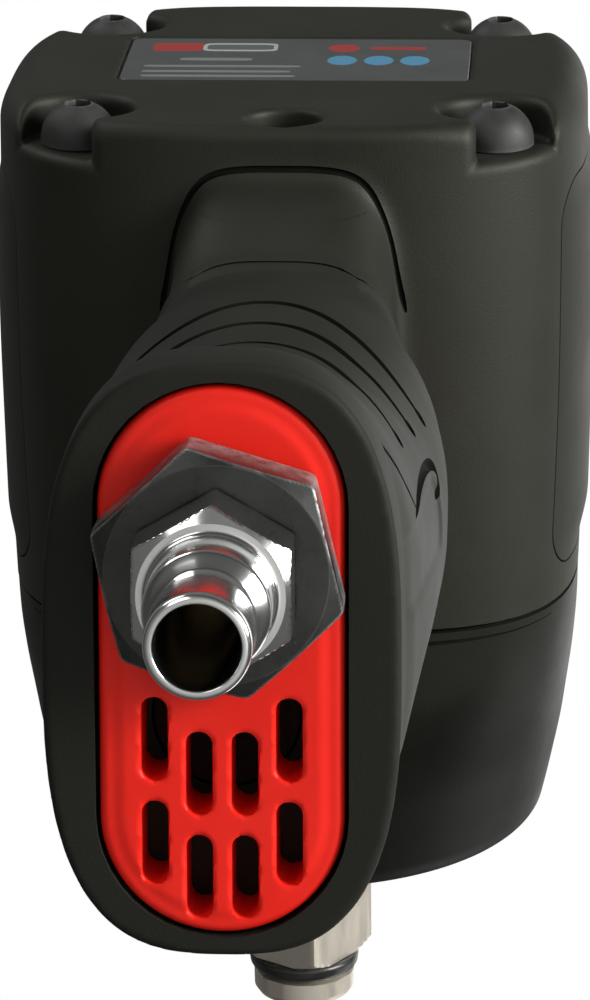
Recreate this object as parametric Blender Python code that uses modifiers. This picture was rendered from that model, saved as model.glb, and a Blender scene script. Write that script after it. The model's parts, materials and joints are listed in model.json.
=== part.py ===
"""A stubby half-inch air impact wrench: composite housing with a raked pistol grip, vane motor, twin-hammer
clutch and square anvil.

Frame: +X runs forward along the spindle and +Z up; the origin is the centre of the anvil's end face.
The handle leans back by RAKE, and its own frame (see handle_frame) stands on the middle of its base.
"""

from math import atan, atan2, cos, pi, radians, sin, sqrt, tau

import bmesh
import bpy
from mathutils import Matrix, Vector

MM = 0.001

# Driving dimensions
DRIVE_SQUARE = 12.7 * MM
REAR_FACE_X = -121.5 * MM
COVER_JOINT_X = -115.5 * MM
CASE_JOINT_X = -61.6 * MM
CASE_FRONT_X = -26.0 * MM
HALF_WIDTH = 35.4 * MM
HALF_HEIGHT = 36.0 * MM
BASE_CENTRE = Vector((-103.0, 0.0, -150.0)) * MM
RAKE = radians(6.3)
GAP = 0.3 * MM

# Handle, in its own frame: x forward, z up from the base plane
RIM_HALF_LENGTH = 29.6 * MM
RIM_HALF_WIDTH = 17.25 * MM
INSERT_HALF_LENGTH = 27.1 * MM
INSERT_HALF_WIDTH = 11.85 * MM
INSERT_DEPTH = 8.0 * MM
GRIP_BOTTOM = 13.5 * MM
GRIP_TOP = 97.0 * MM
GRIP_SLOPE = radians(24)
GRIP_THICKNESS = 2.6 * MM
INLET_X = -10.2 * MM
INLET_BORE = 5.0 * MM
DUCT_X = 7.3 * MM
DUCT_RADIUS = 7.4 * MM

# Motor
MOTOR_RADIUS = 25.2 * MM
LINER_BORE = 21.0 * MM
LINER_OFFSET = 1.3 * MM
ROTOR_RADIUS = 19.4 * MM
ROTOR_REAR_X = -105.9 * MM
ROTOR_FRONT_X = -73.1 * MM
LINER_REAR_X = -106.2 * MM
LINER_FRONT_X = -72.8 * MM
PLATE_FRONT_X = -64.3 * MM
PLATE_REAR_X = -114.7 * MM
BEARING_RADIUS = 13.0 * MM
BEARING_WIDTH = 6.0 * MM
VANES = 6
VANE_THICKNESS = 2.2 * MM
VANE_DEPTH = 8.0 * MM

# Twin-hammer clutch
FRAME_RADIUS = 26.5 * MM
FRAME_REAR_X = -60.5 * MM
FRAME_FRONT_X = -34.2 * MM
FRAME_PLATE = 3.8 * MM
HAMMER_THICKNESS = 8.6 * MM
HAMMER_BORE = 13.4 * MM
PIN_RADIUS = 3.0 * MM
PIN_CIRCLE = 20.0 * MM
SPLINE_TEETH = 8
SPLINE_ROOT = 5.6 * MM
SPLINE_TIP = 7.0 * MM
CASE_BORE = 29.3 * MM

# Screws that clamp rear cover, housing and hammer case
SCREW_Y = 24.5 * MM
SCREW_Z = 24.0 * MM
SCREW_RADIUS = 2.4 * MM
SCREW_HEAD_RADIUS = 4.5 * MM
SCREW_DOME = 4.4 * MM
UPPER_HEAD_X = -118.5 * MM
LOWER_HEAD_X = -120.3 * MM
SCREW_SEAT_X = -116.8 * MM
SCREW_END_X = -51.0 * MM

# Controls
TRIGGER_Z = 96.0 * MM
ROD_Z = 90.0 * MM
REVERSE_X = 2.5 * MM
REVERSE_Z = 107.0 * MM
REGULATOR_Z = -30.0 * MM
SEAT_Z = 65.0 * MM

SPINDLE = Matrix.Rotation(pi / 2, 4, "Y")  # local z runs along +X


def fresh_collection(name):
    collection = bpy.data.collections.new(name)
    bpy.context.scene.collection.children.link(collection)
    return collection


for old in list(bpy.data.objects):
    bpy.data.objects.remove(old)
PARTS = fresh_collection("impact_wrench")
CUTTERS = fresh_collection("cutters")


def handle_frame(x=0.0, y=0.0, z=0.0):
    """The handle's frame, moved to a point given in it."""
    return Matrix.Translation(BASE_CENTRE) @ Matrix.Rotation(RAKE, 4, "Y") @ Matrix.Translation((x, y, z))


def spindle_frame(x=0.0, y=0.0, z=0.0):
    """Local z along the spindle, at a point in the object's frame."""
    return Matrix.Translation((x, y, z)) @ SPINDLE


def material(name, colour, roughness, metallic=0.0):
    made = bpy.data.materials.new(name)
    made.use_nodes = True
    shader = made.node_tree.nodes["Principled BSDF"]
    shader.inputs["Base Color"].default_value = (*colour, 1.0)
    shader.inputs["Roughness"].default_value = roughness
    shader.inputs["Metallic"].default_value = metallic
    made.diffuse_color = (*colour, 1.0)
    return made


COMPOSITE = material("composite", (0.035, 0.036, 0.034), 0.55)
RUBBER = material("rubber", (0.030, 0.031, 0.029), 0.75)
CASE_PAINT = material("case_paint", (0.030, 0.031, 0.030), 0.50, 0.2)
RED_PLASTIC = material("red_plastic", (0.72, 0.03, 0.02), 0.40)
CHROME = material("chrome", (0.80, 0.81, 0.82), 0.08, 1.0)
BLACK_STEEL = material("black_steel", (0.045, 0.046, 0.048), 0.42, 0.8)
NICKEL = material("nickel", (0.62, 0.57, 0.50), 0.30, 1.0)
STEEL = material("steel", (0.50, 0.50, 0.51), 0.35, 1.0)
ALUMINIUM = material("aluminium", (0.72, 0.72, 0.73), 0.40, 1.0)
BRASS = material("brass", (0.75, 0.58, 0.28), 0.30, 1.0)
VANE_RESIN = material("vane_resin", (0.30, 0.20, 0.10), 0.60)
FELT = material("felt", (0.28, 0.28, 0.26), 0.95)
LABEL = material("label", (0.09, 0.10, 0.10), 0.45)
GASKET = material("gasket", (0.12, 0.10, 0.08), 0.85)


def add_object(name, mesh, frame, look=None):
    """A new object: a part if it has a material, otherwise a cutter."""
    made = bpy.data.objects.new(name, mesh)
    made.matrix_world = frame
    if look:
        PARTS.objects.link(made)
        mesh.materials.append(look)
    else:
        CUTTERS.objects.link(made)
        made.hide_render = True
        made.display_type = "WIRE"
    return made


def mesh_of(name, bm):
    mesh = bpy.data.meshes.new(name)
    bmesh.ops.recalc_face_normals(bm, faces=bm.faces)
    bm.to_mesh(mesh)
    bm.free()
    mesh.shade_smooth()
    mesh.set_sharp_from_angle(angle=radians(35))
    return mesh


def bevel(made, width, segments=2, angle=35):
    modifier = made.modifiers.new("bevel", "BEVEL")
    modifier.width = width
    modifier.segments = segments
    modifier.limit_method = "ANGLE"
    modifier.angle_limit = radians(angle)
    return made


def boolean(made, others, operation):
    for other in others:
        modifier = made.modifiers.new(operation.lower(), "BOOLEAN")
        modifier.operation = operation
        modifier.solver = "EXACT"
        modifier.object = other
    return made


def cut(made, *cutters):
    return boolean(made, cutters, "DIFFERENCE")


def join(made, *others):
    return boolean(made, others, "UNION")


def keep(made, *others):
    return boolean(made, others, "INTERSECT")


def rod(name, radius, z_low, z_high, frame, look=None, segments=24, radius_high=None):
    """A cylinder or cone along the frame's local z."""
    bm = bmesh.new()
    top = radius if radius_high is None else radius_high
    bmesh.ops.create_cone(bm, cap_ends=True, segments=segments, radius1=radius, radius2=top, depth=z_high - z_low)
    bmesh.ops.translate(bm, verts=bm.verts, vec=(0, 0, (z_low + z_high) / 2))
    return add_object(name, mesh_of(name, bm), frame, look)


def block(name, low, high, frame=Matrix.Identity(4), look=None):
    bm = bmesh.new()
    bmesh.ops.create_cube(bm, size=1.0)
    low, high = Vector(low), Vector(high)
    bmesh.ops.scale(bm, verts=bm.verts, vec=high - low)
    bmesh.ops.translate(bm, verts=bm.verts, vec=(low + high) / 2)
    return add_object(name, mesh_of(name, bm), frame, look)


def turned(name, profile, frame, look=None, segments=28):
    """A Screw of (radius, z) points: listed from the top of the outer side down, and back up the bore if there is one."""
    mesh = bpy.data.meshes.new(name)
    solid = profile[0][0] == 0.0
    count = len(profile)
    edges = [(i, i + 1) for i in range(count - 1)]
    if not solid:
        edges.append((count - 1, 0))
    mesh.from_pydata([(radius, 0.0, z) for radius, z in profile], edges, [])
    made = add_object(name, mesh, frame, look)
    modifier = made.modifiers.new("screw", "SCREW")
    modifier.steps = segments
    modifier.render_steps = segments
    modifier.use_merge_vertices = True
    modifier.merge_threshold = 0.00002
    modifier.use_smooth_shade = True
    return made


def ring(name, inner, outer, z_low, z_high, frame, look=None, segments=28):
    profile = [(outer, z_high), (outer, z_low), (inner, z_low), (inner, z_high)]
    return turned(name, profile, frame, look, segments)


def ellipse_power(half_x, half_y, power, count, start=0.0):
    """Points of a superellipse, spaced evenly by angle."""
    points = []
    for i in range(count):
        angle = start + tau * i / count
        c, s = cos(angle), sin(angle)
        radius = (abs(c / half_x) ** power + abs(s / half_y) ** power) ** (-1 / power)
        points.append((radius * c, radius * s))
    return points


def loft(name, sections, frame, look=None):
    """A closed skin through sections of equal point count, each (z, points): a loft between unlike outlines."""
    bm = bmesh.new()
    rings = [[bm.verts.new((x, y, z)) for x, y in points] for z, points in sections]
    for lower, upper in zip(rings, rings[1:]):
        for i in range(len(lower)):
            j = (i + 1) % len(lower)
            bm.faces.new((lower[i], lower[j], upper[j], upper[i]))
    bm.faces.new(reversed(rings[0]))
    bm.faces.new(rings[-1])
    return add_object(name, mesh_of(name, bm), frame, look)


def extruded(name, outline, z_low, z_high, frame, look=None):
    """A flat outline given a thickness along local z."""
    return loft(name, [(z_low, outline), (z_high, outline)], frame, look)


def obround(half_length, half_width, arc_points=12):
    """A stadium outline, long in x."""
    middle = half_length - half_width
    points = []
    for side, start in ((1, -pi / 2), (-1, pi / 2)):
        for i in range(arc_points + 1):
            angle = start + pi * i / arc_points
            points.append((side * middle + half_width * cos(angle), half_width * sin(angle)))
    return points


def hexagon(across_flats, turn=0.0):
    radius = across_flats / sqrt(3)
    return [(radius * cos(turn + i * pi / 3), radius * sin(turn + i * pi / 3)) for i in range(6)]


def spline_outline(root, tip):
    """The straight-sided teeth that the rotor shaft and the hammer frame share."""
    points = []
    for tooth in range(SPLINE_TEETH):
        for share, radius in ((-0.32, root), (-0.18, tip), (0.18, tip), (0.32, root)):
            angle = tau * (tooth + share) / SPLINE_TEETH
            points.append((radius * cos(angle), radius * sin(angle)))
    return points


# --- Housing -------------------------------------------------------------------------------------------------------


def body_section(half_width, half_height, power, count=36):
    """A section across the spindle. In the spindle frame local x is down and local y is left."""
    return ellipse_power(half_height, half_width, power, count, start=pi / count)


def handle_section(z, inset=0.0, count=28):
    """The handle's outline at a height in its frame: rounder at the back, and offset as the backstrap runs."""
    rear, front, half_width, power = handle_limits(z)
    middle, half_length = (rear + front) / 2, (front - rear) / 2
    outline = ellipse_power(half_length - inset, half_width - inset, power, count)
    return [(x + middle, y) for x, y in outline]


# Height, rear edge, front edge, half width and superellipse power of the handle's outside
HANDLE_STATIONS = [
    (0.0 * MM, -28.4 * MM, 28.4 * MM, 15.2 * MM, 2.9),
    (1.2 * MM, -29.2 * MM, 29.1 * MM, 16.4 * MM, 2.9),
    (3.0 * MM, -29.6 * MM, 29.5 * MM, 17.0 * MM, 2.9),
    (8.0 * MM, -29.4 * MM, 29.2 * MM, 17.25 * MM, 2.9),
    (13.0 * MM, -27.8 * MM, 28.4 * MM, 17.3 * MM, 2.8),
    (27.0 * MM, -23.8 * MM, 24.4 * MM, 18.6 * MM, 2.5),
    (43.0 * MM, -21.1 * MM, 21.4 * MM, 19.8 * MM, 2.3),
    (58.0 * MM, -19.8 * MM, 20.2 * MM, 20.2 * MM, 2.2),
    (70.0 * MM, -20.0 * MM, 19.8 * MM, 19.8 * MM, 2.2),
    (84.0 * MM, -20.8 * MM, 19.4 * MM, 18.6 * MM, 2.3),
    (97.0 * MM, -21.0 * MM, 20.5 * MM, 15.8 * MM, 2.8),
    (106.0 * MM, -23.0 * MM, 22.5 * MM, 14.4 * MM, 3.2),
    (112.0 * MM, -24.5 * MM, 24.8 * MM, 14.6 * MM, 3.3),
    (118.0 * MM, -25.0 * MM, 27.0 * MM, 16.5 * MM, 3.3),
]


def handle_limits(z):
    """The station values at a height, eased between neighbours."""
    for lower, upper in zip(HANDLE_STATIONS, HANDLE_STATIONS[1:]):
        if z <= upper[0]:
            share = (z - lower[0]) / (upper[0] - lower[0])
            return [a + (b - a) * share for a, b in zip(lower[1:], upper[1:])]
    return HANDLE_STATIONS[-1][1:]


def handle_core():
    """The part of the housing that the hand holds: full size at rim and neck, set in where the grip sleeve sits."""
    step = 0.1 * MM
    heights = [(0.0, 0), (1.2 * MM, 0), (3.0 * MM, 0), (5.0 * MM, 0), (8.0 * MM, 0), (GRIP_BOTTOM - step - GAP, 0)]
    heights += [(GRIP_BOTTOM - GAP, 1), (20.0 * MM, 1), (27.0 * MM, 1), (37.0 * MM, 1), (48.0 * MM, 1)]
    heights += [(57.0 * MM, 1), (66.0 * MM, 1), (75.0 * MM, 1), (84.0 * MM, 1), (97.0 * MM, 1), (106.0 * MM, 1)]
    inset = GRIP_THICKNESS + GAP
    sections = [(z, handle_section(z, inset if covered else 0.0)) for z, covered in heights]
    return loft("handle_core", sections, handle_frame())


def handle_neck():
    """The bare part between the sleeve's sloping top edge and the motor."""
    heights = (72.0, 84.0, 90.5, 97.0, 101.5, 106.0, 112.0, 118.0)
    neck = loft("handle_neck", [(z * MM, handle_section(z * MM)) for z in heights], handle_frame())
    return cut(neck, grip_zone("neck_end", GAP))


def grip_zone(name, margin):
    """Everything below the sleeve's top edge, which slopes down from the web of the hand to the trigger."""
    frame = handle_frame(-21 * MM, 0, GRIP_TOP + margin) @ Matrix.Rotation(GRIP_SLOPE, 4, "Y")
    return block(name, (-40 * MM, -40 * MM, -120 * MM), (90 * MM, 40 * MM, 0), frame)


def motor_housing():
    stations = [
        (COVER_JOINT_X, 35.2 * MM, 35.8 * MM, 3.2),
        (-108.0 * MM, HALF_WIDTH, HALF_HEIGHT, 3.2),
        (-85.0 * MM, 35.2 * MM, 35.6 * MM, 3.2),
        (-70.0 * MM, 34.9 * MM, 34.8 * MM, 3.2),
        (CASE_JOINT_X - GAP, 34.8 * MM, 34.0 * MM, 3.2),
    ]
    sections = [(x, body_section(width, height, power)) for x, width, height, power in stations]
    body = loft("motor_housing", sections, spindle_frame(), COMPOSITE)
    join(body, handle_core(), handle_neck())
    bore = rod("motor_bore", MOTOR_RADIUS + GAP, -120 * MM, PLATE_FRONT_X + GAP, spindle_frame(), segments=40)
    front_hole = rod("front_hole", 20 * MM, -70 * MM, -55 * MM, spindle_frame())
    cut(body, bore, front_hole, *screw_holes(), *side_recesses(), *handle_passages())
    return body


def screw_places():
    return [(y, z) for z in (-SCREW_Z, SCREW_Z) for y in (SCREW_Y, -SCREW_Y)]


def screw_holes():
    """Clearance holes right through cover, housing and into the hammer case."""
    return [
        rod(f"screw_hole_{i}", SCREW_RADIUS + GAP, -130 * MM, SCREW_END_X + 1.5 * MM, spindle_frame(0, y, z), segments=12)
        for i, (y, z) in enumerate(screw_places(), 1)
    ]


PAD_REAR_X = -114.5 * MM
PAD_FRONT_X = -66.0 * MM
PAD_HALF_HEIGHT = 23.5 * MM


def pad_zone(name, side, margin):
    """The block of space that a side pad fills, a little larger for its recess."""
    low = (PAD_REAR_X - margin, 0, -PAD_HALF_HEIGHT - margin)
    high = (PAD_FRONT_X + margin, 45 * MM, PAD_HALF_HEIGHT + margin)
    made = block(name, low, high, Matrix.Scale(side, 4, (0, 1, 0)) if side > 0 else Matrix.Rotation(pi, 4, "X"))
    return bevel(made, 6 * MM, 3)


def body_prism(name, half_width, half_height, look=None):
    outline = body_section(half_width, half_height, 3.2)
    return extruded(name, outline, -117 * MM, -63 * MM, spindle_frame(), look)


def side_recesses():
    """The shallow pockets in the housing's flanks: a block with the housing's inner line taken out of it."""
    recesses = []
    for side, name in ((1, "left"), (-1, "right")):
        pocket = pad_zone(f"pad_recess_{name}", side, GAP)
        recesses.append(cut(pocket, body_prism(f"pad_floor_{name}", 33.7 * MM, 34.4 * MM)))
    return recesses


def side_pad(side, name):
    """A rubber bumper along the flank, standing a little proud of the housing."""
    pad = body_prism(f"side_pad_{name}", 36.3 * MM, 37.1 * MM, RUBBER)
    keep(pad, pad_zone(f"pad_block_{name}", side, 0.0))
    cut(pad, body_prism(f"pad_core_{name}", 33.7 * MM + GAP, 34.4 * MM + GAP))
    return pad


def handle_passages():
    """Everything bored or moulded into the handle, as cutters in the handle's frame."""
    at_inlet = handle_frame(INLET_X)
    insert = extruded(
        "insert_recess",
        obround(INSERT_HALF_LENGTH + GAP, INSERT_HALF_WIDTH + GAP),
        -2 * MM,
        INSERT_DEPTH + GAP,
        handle_frame(),
    )
    exhaust = rod("exhaust_duct", DUCT_RADIUS, 5 * MM, 78 * MM, handle_frame(DUCT_X), segments=36)
    return [
        insert,
        exhaust,
        rod("bushing_bore", 9.3 * MM, -2 * MM, 18.6 * MM, at_inlet),
        rod("screen_bore", 7.0 * MM, 10 * MM, 24 * MM, at_inlet),
        rod("inlet_bore", INLET_BORE, 20 * MM, SEAT_Z + 3.3 * MM, at_inlet, segments=28),
        rod("valve_chamber", 4.7 * MM, 50 * MM, REVERSE_Z + 2 * MM, at_inlet, segments=28),
        rod("rod_bore", 2.5 * MM, INLET_X, 40 * MM, handle_frame(z=ROD_Z) @ SPINDLE, segments=20),
        block(
            "trigger_well",
            (8.0 * MM, -6.6 * MM, TRIGGER_Z - 11.3 * MM),
            (60 * MM, 6.6 * MM, TRIGGER_Z + 11.3 * MM),
            handle_frame(),
        ),
        rod("reverse_bore", 4.8 * MM, -40 * MM, 40 * MM, reverse_frame()),
        rod("supply_port", 2.2 * MM, INLET_X, REVERSE_X - 2 * MM, handle_frame(z=REVERSE_Z - 0.3 * MM) @ SPINDLE, segments=18),
        rod("left_motor_port", 1.8 * MM, REVERSE_Z + 1 * MM, 134 * MM, handle_frame(REVERSE_X + 0.4 * MM, 4.2 * MM), segments=16),
        rod("right_motor_port", 1.8 * MM, REVERSE_Z + 1 * MM, 134 * MM, handle_frame(REVERSE_X + 0.4 * MM, -4.2 * MM), segments=16),
        block("exhaust_manifold", (8 * MM, -13 * MM, 72 * MM), (14.6 * MM, 13 * MM, 78 * MM), handle_frame()),
        rod("left_exhaust_port", 2.6 * MM, 75.2 * MM, 134 * MM, handle_frame(11.6 * MM, 9.9 * MM), segments=18),
        rod("right_exhaust_port", 2.6 * MM, 75.2 * MM, 134 * MM, handle_frame(11.6 * MM, -9.9 * MM), segments=18),
    ]


def reverse_frame():
    """Local z runs along +Y through the reverse slider."""
    return handle_frame(REVERSE_X, 0, REVERSE_Z) @ Matrix.Rotation(-pi / 2, 4, "X")


def handle_grip():
    """The rubber sleeve, with the palm swell outside and the core's line inside."""
    heights = [GRIP_BOTTOM, 20 * MM, 27 * MM, 37 * MM, 48 * MM, 57 * MM, 66 * MM, 75 * MM, 84 * MM, 97 * MM, 103 * MM]
    grip = loft("handle_grip", [(z, handle_section(z)) for z in heights], handle_frame(), RUBBER)
    inside = [GRIP_BOTTOM - 5 * MM, *heights, 108 * MM]
    cutter = loft("grip_core", [(z, handle_section(z, GRIP_THICKNESS)) for z in inside], handle_frame())
    keep(grip, grip_zone("grip_top", 0.0))
    low = (8.0 * MM, -7.0 * MM, TRIGGER_Z - 11.7 * MM)
    return cut(grip, cutter, block("trigger_clearance", low, (60 * MM, 7.0 * MM, 120 * MM), handle_frame()))


def hammer_case():
    """Square-shouldered where it meets the housing and round at the nose."""
    stations = [
        (CASE_JOINT_X + GAP, 34.8 * MM, 34.0 * MM, 3.2),
        (-59.8 * MM, 34.8 * MM, 34.0 * MM, 3.2),
        (-59.2 * MM, 34.2 * MM, 33.5 * MM, 3.1),
        (-50.0 * MM, 34.1 * MM, 33.6 * MM, 2.7),
        (-40.0 * MM, 32.9 * MM, 32.6 * MM, 2.3),
        (-32.0 * MM, 31.3 * MM, 31.2 * MM, 2.1),
        (-28.0 * MM, 29.9 * MM, 29.9 * MM, 2.0),
        (-26.6 * MM, 28.8 * MM, 28.8 * MM, 2.0),
        (CASE_FRONT_X, 27.2 * MM, 27.2 * MM, 2.0),
    ]
    sections = [(x, body_section(width, height, power)) for x, width, height, power in stations]
    case = loft("hammer_case", sections, spindle_frame(), CASE_PAINT)
    boss = turned(
        "nose_boss",
        [(0.0, -21.0 * MM), (12.6 * MM, -21.0 * MM), (13.6 * MM, -22.0 * MM), (14.6 * MM, -28 * MM), (0.0, -28 * MM)],
        spindle_frame(),
    )
    join(case, boss)
    cavity = turned(
        "case_cavity",
        [(0.0, -31 * MM), (27.4 * MM, -31 * MM), (CASE_BORE, -36 * MM), (CASE_BORE, -64 * MM), (0.0, -64 * MM)],
        spindle_frame(),
        segments=40,
    )
    bush_bore = rod("bush_bore", 12.0 * MM, -33 * MM, -15 * MM, spindle_frame())
    return cut(case, cavity, bush_bore, *screw_holes())


FACE_SLOPE = 0.045  # the rear face leans: it stands further back below than above
FACE_FRAME = Matrix.Translation((REAR_FACE_X - FACE_SLOPE * HALF_HEIGHT, 0, 0)) @ Matrix.Rotation(atan(FACE_SLOPE), 4, "Y")


def rear_cover():
    stations = [
        (REAR_FACE_X, 32.8 * MM, 33.6 * MM, 3.2),
        (REAR_FACE_X + 1.0 * MM, 34.3 * MM, 35.0 * MM, 3.2),
        (REAR_FACE_X + 2.6 * MM, 35.0 * MM, 35.7 * MM, 3.2),
        (COVER_JOINT_X - 0.8 * MM, 35.2 * MM, 35.8 * MM, 3.2),
    ]
    sections = [(x, body_section(width, height, power)) for x, width, height, power in stations]
    cover = loft("rear_cover", sections, spindle_frame(), COMPOSITE)
    joint = COVER_JOINT_X - 0.8 * MM
    for vertex in cover.data.vertices:
        share = (joint - vertex.co.z) / (joint - REAR_FACE_X)
        vertex.co.z -= FACE_SLOPE * (HALF_HEIGHT + vertex.co.x) * share
    pockets = []
    for i, (y, z) in enumerate(screw_places(), 1):
        pockets.append(rod(f"head_pocket_{i}", 6.4 * MM, -130 * MM, SCREW_SEAT_X, spindle_frame(0, y, z), segments=20))
    label = block("label_recess", (-9 * MM, -21.5 * MM, -9.7 * MM), (0.5 * MM, 21.5 * MM, 15.4 * MM), FACE_FRAME)
    dial = rod("regulator_pocket", 4.35 * MM, -130 * MM, COVER_JOINT_X - 2.0 * MM, spindle_frame(0, 0, REGULATOR_Z))
    return cut(cover, *pockets, *screw_holes(), label, dial)


def gasket(name, x_low, x_high, half_width, half_height, opening):
    """A thin sheet with the motor's or the clutch's opening in it."""
    outline = body_section(half_width, half_height, 3.2)
    sheet = extruded(name, outline, x_low, x_high, spindle_frame(), GASKET)
    return cut(sheet, rod(f"{name}_opening", opening, -130 * MM, -50 * MM, spindle_frame()), *screw_holes())


def cover_screw(number, y, z):
    """A long socket-head screw; its domed head stands a little proud of the cover's pocket."""
    frame = spindle_frame(0, y, z)
    shoulder = UPPER_HEAD_X if z > 0 else LOWER_HEAD_X
    top = shoulder - SCREW_DOME
    profile = [
        (0.0, SCREW_END_X),
        (SCREW_RADIUS, SCREW_END_X),
        (SCREW_RADIUS, SCREW_SEAT_X - GAP),
        (SCREW_HEAD_RADIUS, SCREW_SEAT_X - GAP),
        (SCREW_HEAD_RADIUS, shoulder),
        (SCREW_HEAD_RADIUS * 0.92, shoulder - SCREW_DOME * 0.40),
        (SCREW_HEAD_RADIUS * 0.72, shoulder - SCREW_DOME * 0.72),
        (SCREW_HEAD_RADIUS * 0.47, top),
        (0.0, top),
    ]
    screw = turned(f"cover_screw_{number}", profile, frame, BLACK_STEEL, segments=12)
    socket = extruded(f"socket_{number}", hexagon(3.0 * MM), top - 2 * MM, top + 2.2 * MM, frame)
    return cut(screw, socket)


# --- Handle fittings -----------------------------------------------------------------------------------------------

SLOT_HALF_LENGTH = 4.2 * MM
SLOT_HALF_WIDTH = 1.3 * MM
SLOT_PITCH = 10.35 * MM


def exhaust_cover():
    """The moulded insert that closes the handle: two staggered rows of slots in front of the inlet bushing."""
    face = 1.3 * MM
    sections = [
        (0.0, obround(INSERT_HALF_LENGTH - face, INSERT_HALF_WIDTH - face)),
        (0.9 * MM, obround(INSERT_HALF_LENGTH - 0.3 * MM, INSERT_HALF_WIDTH - 0.3 * MM)),
        (1.6 * MM, obround(INSERT_HALF_LENGTH, INSERT_HALF_WIDTH)),
        (INSERT_DEPTH, obround(INSERT_HALF_LENGTH, INSERT_HALF_WIDTH)),
    ]
    cover = loft("exhaust_cover", sections, handle_frame(), RED_PLASTIC)
    cutters = [rod("bushing_hole", 9.5 * MM, -2 * MM, 12 * MM, handle_frame(INLET_X))]
    for column, first in ((-6.5 * MM, 7.6 * MM), (-2.2 * MM, 11.0 * MM), (2.2 * MM, 11.0 * MM), (6.5 * MM, 7.6 * MM)):
        for row in range(2):
            place = handle_frame(first + row * SLOT_PITCH, column)
            outline = obround(SLOT_HALF_LENGTH, SLOT_HALF_WIDTH, 6)
            cutters.append(extruded(f"slot_{len(cutters)}", outline, -2 * MM, 12 * MM, place))
    return cut(cover, *cutters)


def inlet_bushing():
    """The large hexagon that holds the exhaust cover and takes the nipple's thread."""
    frame = handle_frame(INLET_X)
    hex_head = extruded(
        "inlet_bushing", hexagon(22.0 * MM, radians(170.9)), -6.4 * MM, -GAP, frame, BLACK_STEEL
    )
    chamfer = turned(
        "bushing_chamfer",
        [(0.0, 2 * MM), (14 * MM, 2 * MM), (14 * MM, -4.9 * MM), (10.9 * MM, -6.41 * MM), (10.9 * MM, -8 * MM), (0.0, -8 * MM)],
        frame,
    )
    keep(hex_head, chamfer)
    join(hex_head, rod("bushing_shank", 9.0 * MM, -1.5 * MM, 18.0 * MM, frame))
    counterbore = rod("nipple_thread_hole", 6.7 * MM, -10 * MM, 6.0 * MM, frame)
    return cut(hex_head, counterbore, rod("bushing_bore_through", 5.4 * MM, 2 * MM, 30 * MM, frame))


def inlet_nipple():
    """A quick-coupling plug: hexagon, collar, locking groove and nose, bored right through."""
    frame = handle_frame(INLET_X)
    nipple = extruded("inlet_nipple", hexagon(15.0 * MM), -14.5 * MM, -6.7 * MM, frame, CHROME)
    chamfer = turned(
        "nipple_chamfer",
        [(0.0, 0.0), (12 * MM, 0.0), (12 * MM, -13.1 * MM), (7.3 * MM, -14.6 * MM), (7.3 * MM, -16 * MM), (0.0, -16 * MM)],
        frame,
    )
    keep(nipple, chamfer)
    body = turned(
        "nipple_body",
        [
            (0.0, 4.5 * MM),
            (6.4 * MM, 4.5 * MM),
            (6.4 * MM, -14.0 * MM),
            (6.4 * MM, -16.4 * MM),
            (5.9 * MM, -16.9 * MM),
            (5.9 * MM, -20.4 * MM),
            (5.5 * MM, -20.9 * MM),
            (4.35 * MM, -22.2 * MM),
            (4.35 * MM, -24.6 * MM),
            (5.0 * MM, -25.6 * MM),
            (5.0 * MM, -32.3 * MM),
            (4.5 * MM, -33.0 * MM),
            (0.0, -33.0 * MM),
        ],
        frame,
    )
    join(nipple, body)
    return cut(nipple, rod("nipple_bore", 3.9 * MM, -40 * MM, 10 * MM, frame))


def inlet_screen():
    """A cupped strainer above the bushing."""
    cup = [(6.7 * MM, 22.0 * MM), (6.7 * MM, 19.2 * MM), (5.6 * MM, 19.2 * MM), (5.6 * MM, 22.0 * MM)]
    frame = handle_frame(INLET_X)
    screen = turned("inlet_screen", cup, frame, BRASS, segments=24)
    return join(screen, rod("screen_floor", 6.0 * MM, 20.0 * MM, 20.6 * MM, frame, segments=24))


def muffler():
    """A rolled felt plug in the exhaust duct."""
    return rod("muffler", DUCT_RADIUS - GAP, INSERT_DEPTH + 2 * GAP, 52 * MM, handle_frame(DUCT_X), FELT, segments=36)


def valve_seat():
    return ring("valve_seat", 3.0 * MM, INLET_BORE - GAP, SEAT_Z, SEAT_Z + 3.0 * MM, handle_frame(INLET_X), BRASS, 28)


def throttle_valve():
    """A tilt valve: a disc under the seat, and a stem that the trigger rod pushes over."""
    profile = [
        (0.0, ROD_Z + 2.4 * MM),
        (1.3 * MM, ROD_Z + 2.4 * MM),
        (1.3 * MM, SEAT_Z + 0.2 * MM),
        (1.9 * MM, SEAT_Z - 0.7 * MM),
        (4.1 * MM, SEAT_Z - 0.7 * MM),
        (4.1 * MM, SEAT_Z - 2.3 * MM),
        (2.6 * MM, SEAT_Z - 2.6 * MM),
        (0.0, SEAT_Z - 2.6 * MM),
    ]
    return turned("throttle_valve", profile, handle_frame(INLET_X), BRASS, segments=24)


SPRING_TURNS = 5
SPRING_RADIUS = 3.5 * MM
SPRING_BOTTOM = 42.0 * MM
SPRING_TOP = SEAT_Z - 3.9 * MM


def throttle_spring():
    """The coil that holds the throttle valve against its seat."""
    per_turn = 10
    curve = bpy.data.curves.new("throttle_spring", "CURVE")
    curve.dimensions = "3D"
    curve.bevel_depth = 0.45 * MM
    curve.bevel_resolution = 0
    curve.use_fill_caps = True
    spline = curve.splines.new("POLY")
    count = SPRING_TURNS * per_turn + 1
    spline.points.add(count - 1)
    for i in range(count):
        angle = tau * i / per_turn
        height = SPRING_BOTTOM + (SPRING_TOP - SPRING_BOTTOM) * i / (count - 1)
        spline.points[i].co = (SPRING_RADIUS * cos(angle), SPRING_RADIUS * sin(angle), height, 1.0)
    return add_object("throttle_spring", curve, handle_frame(INLET_X), STEEL)


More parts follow.
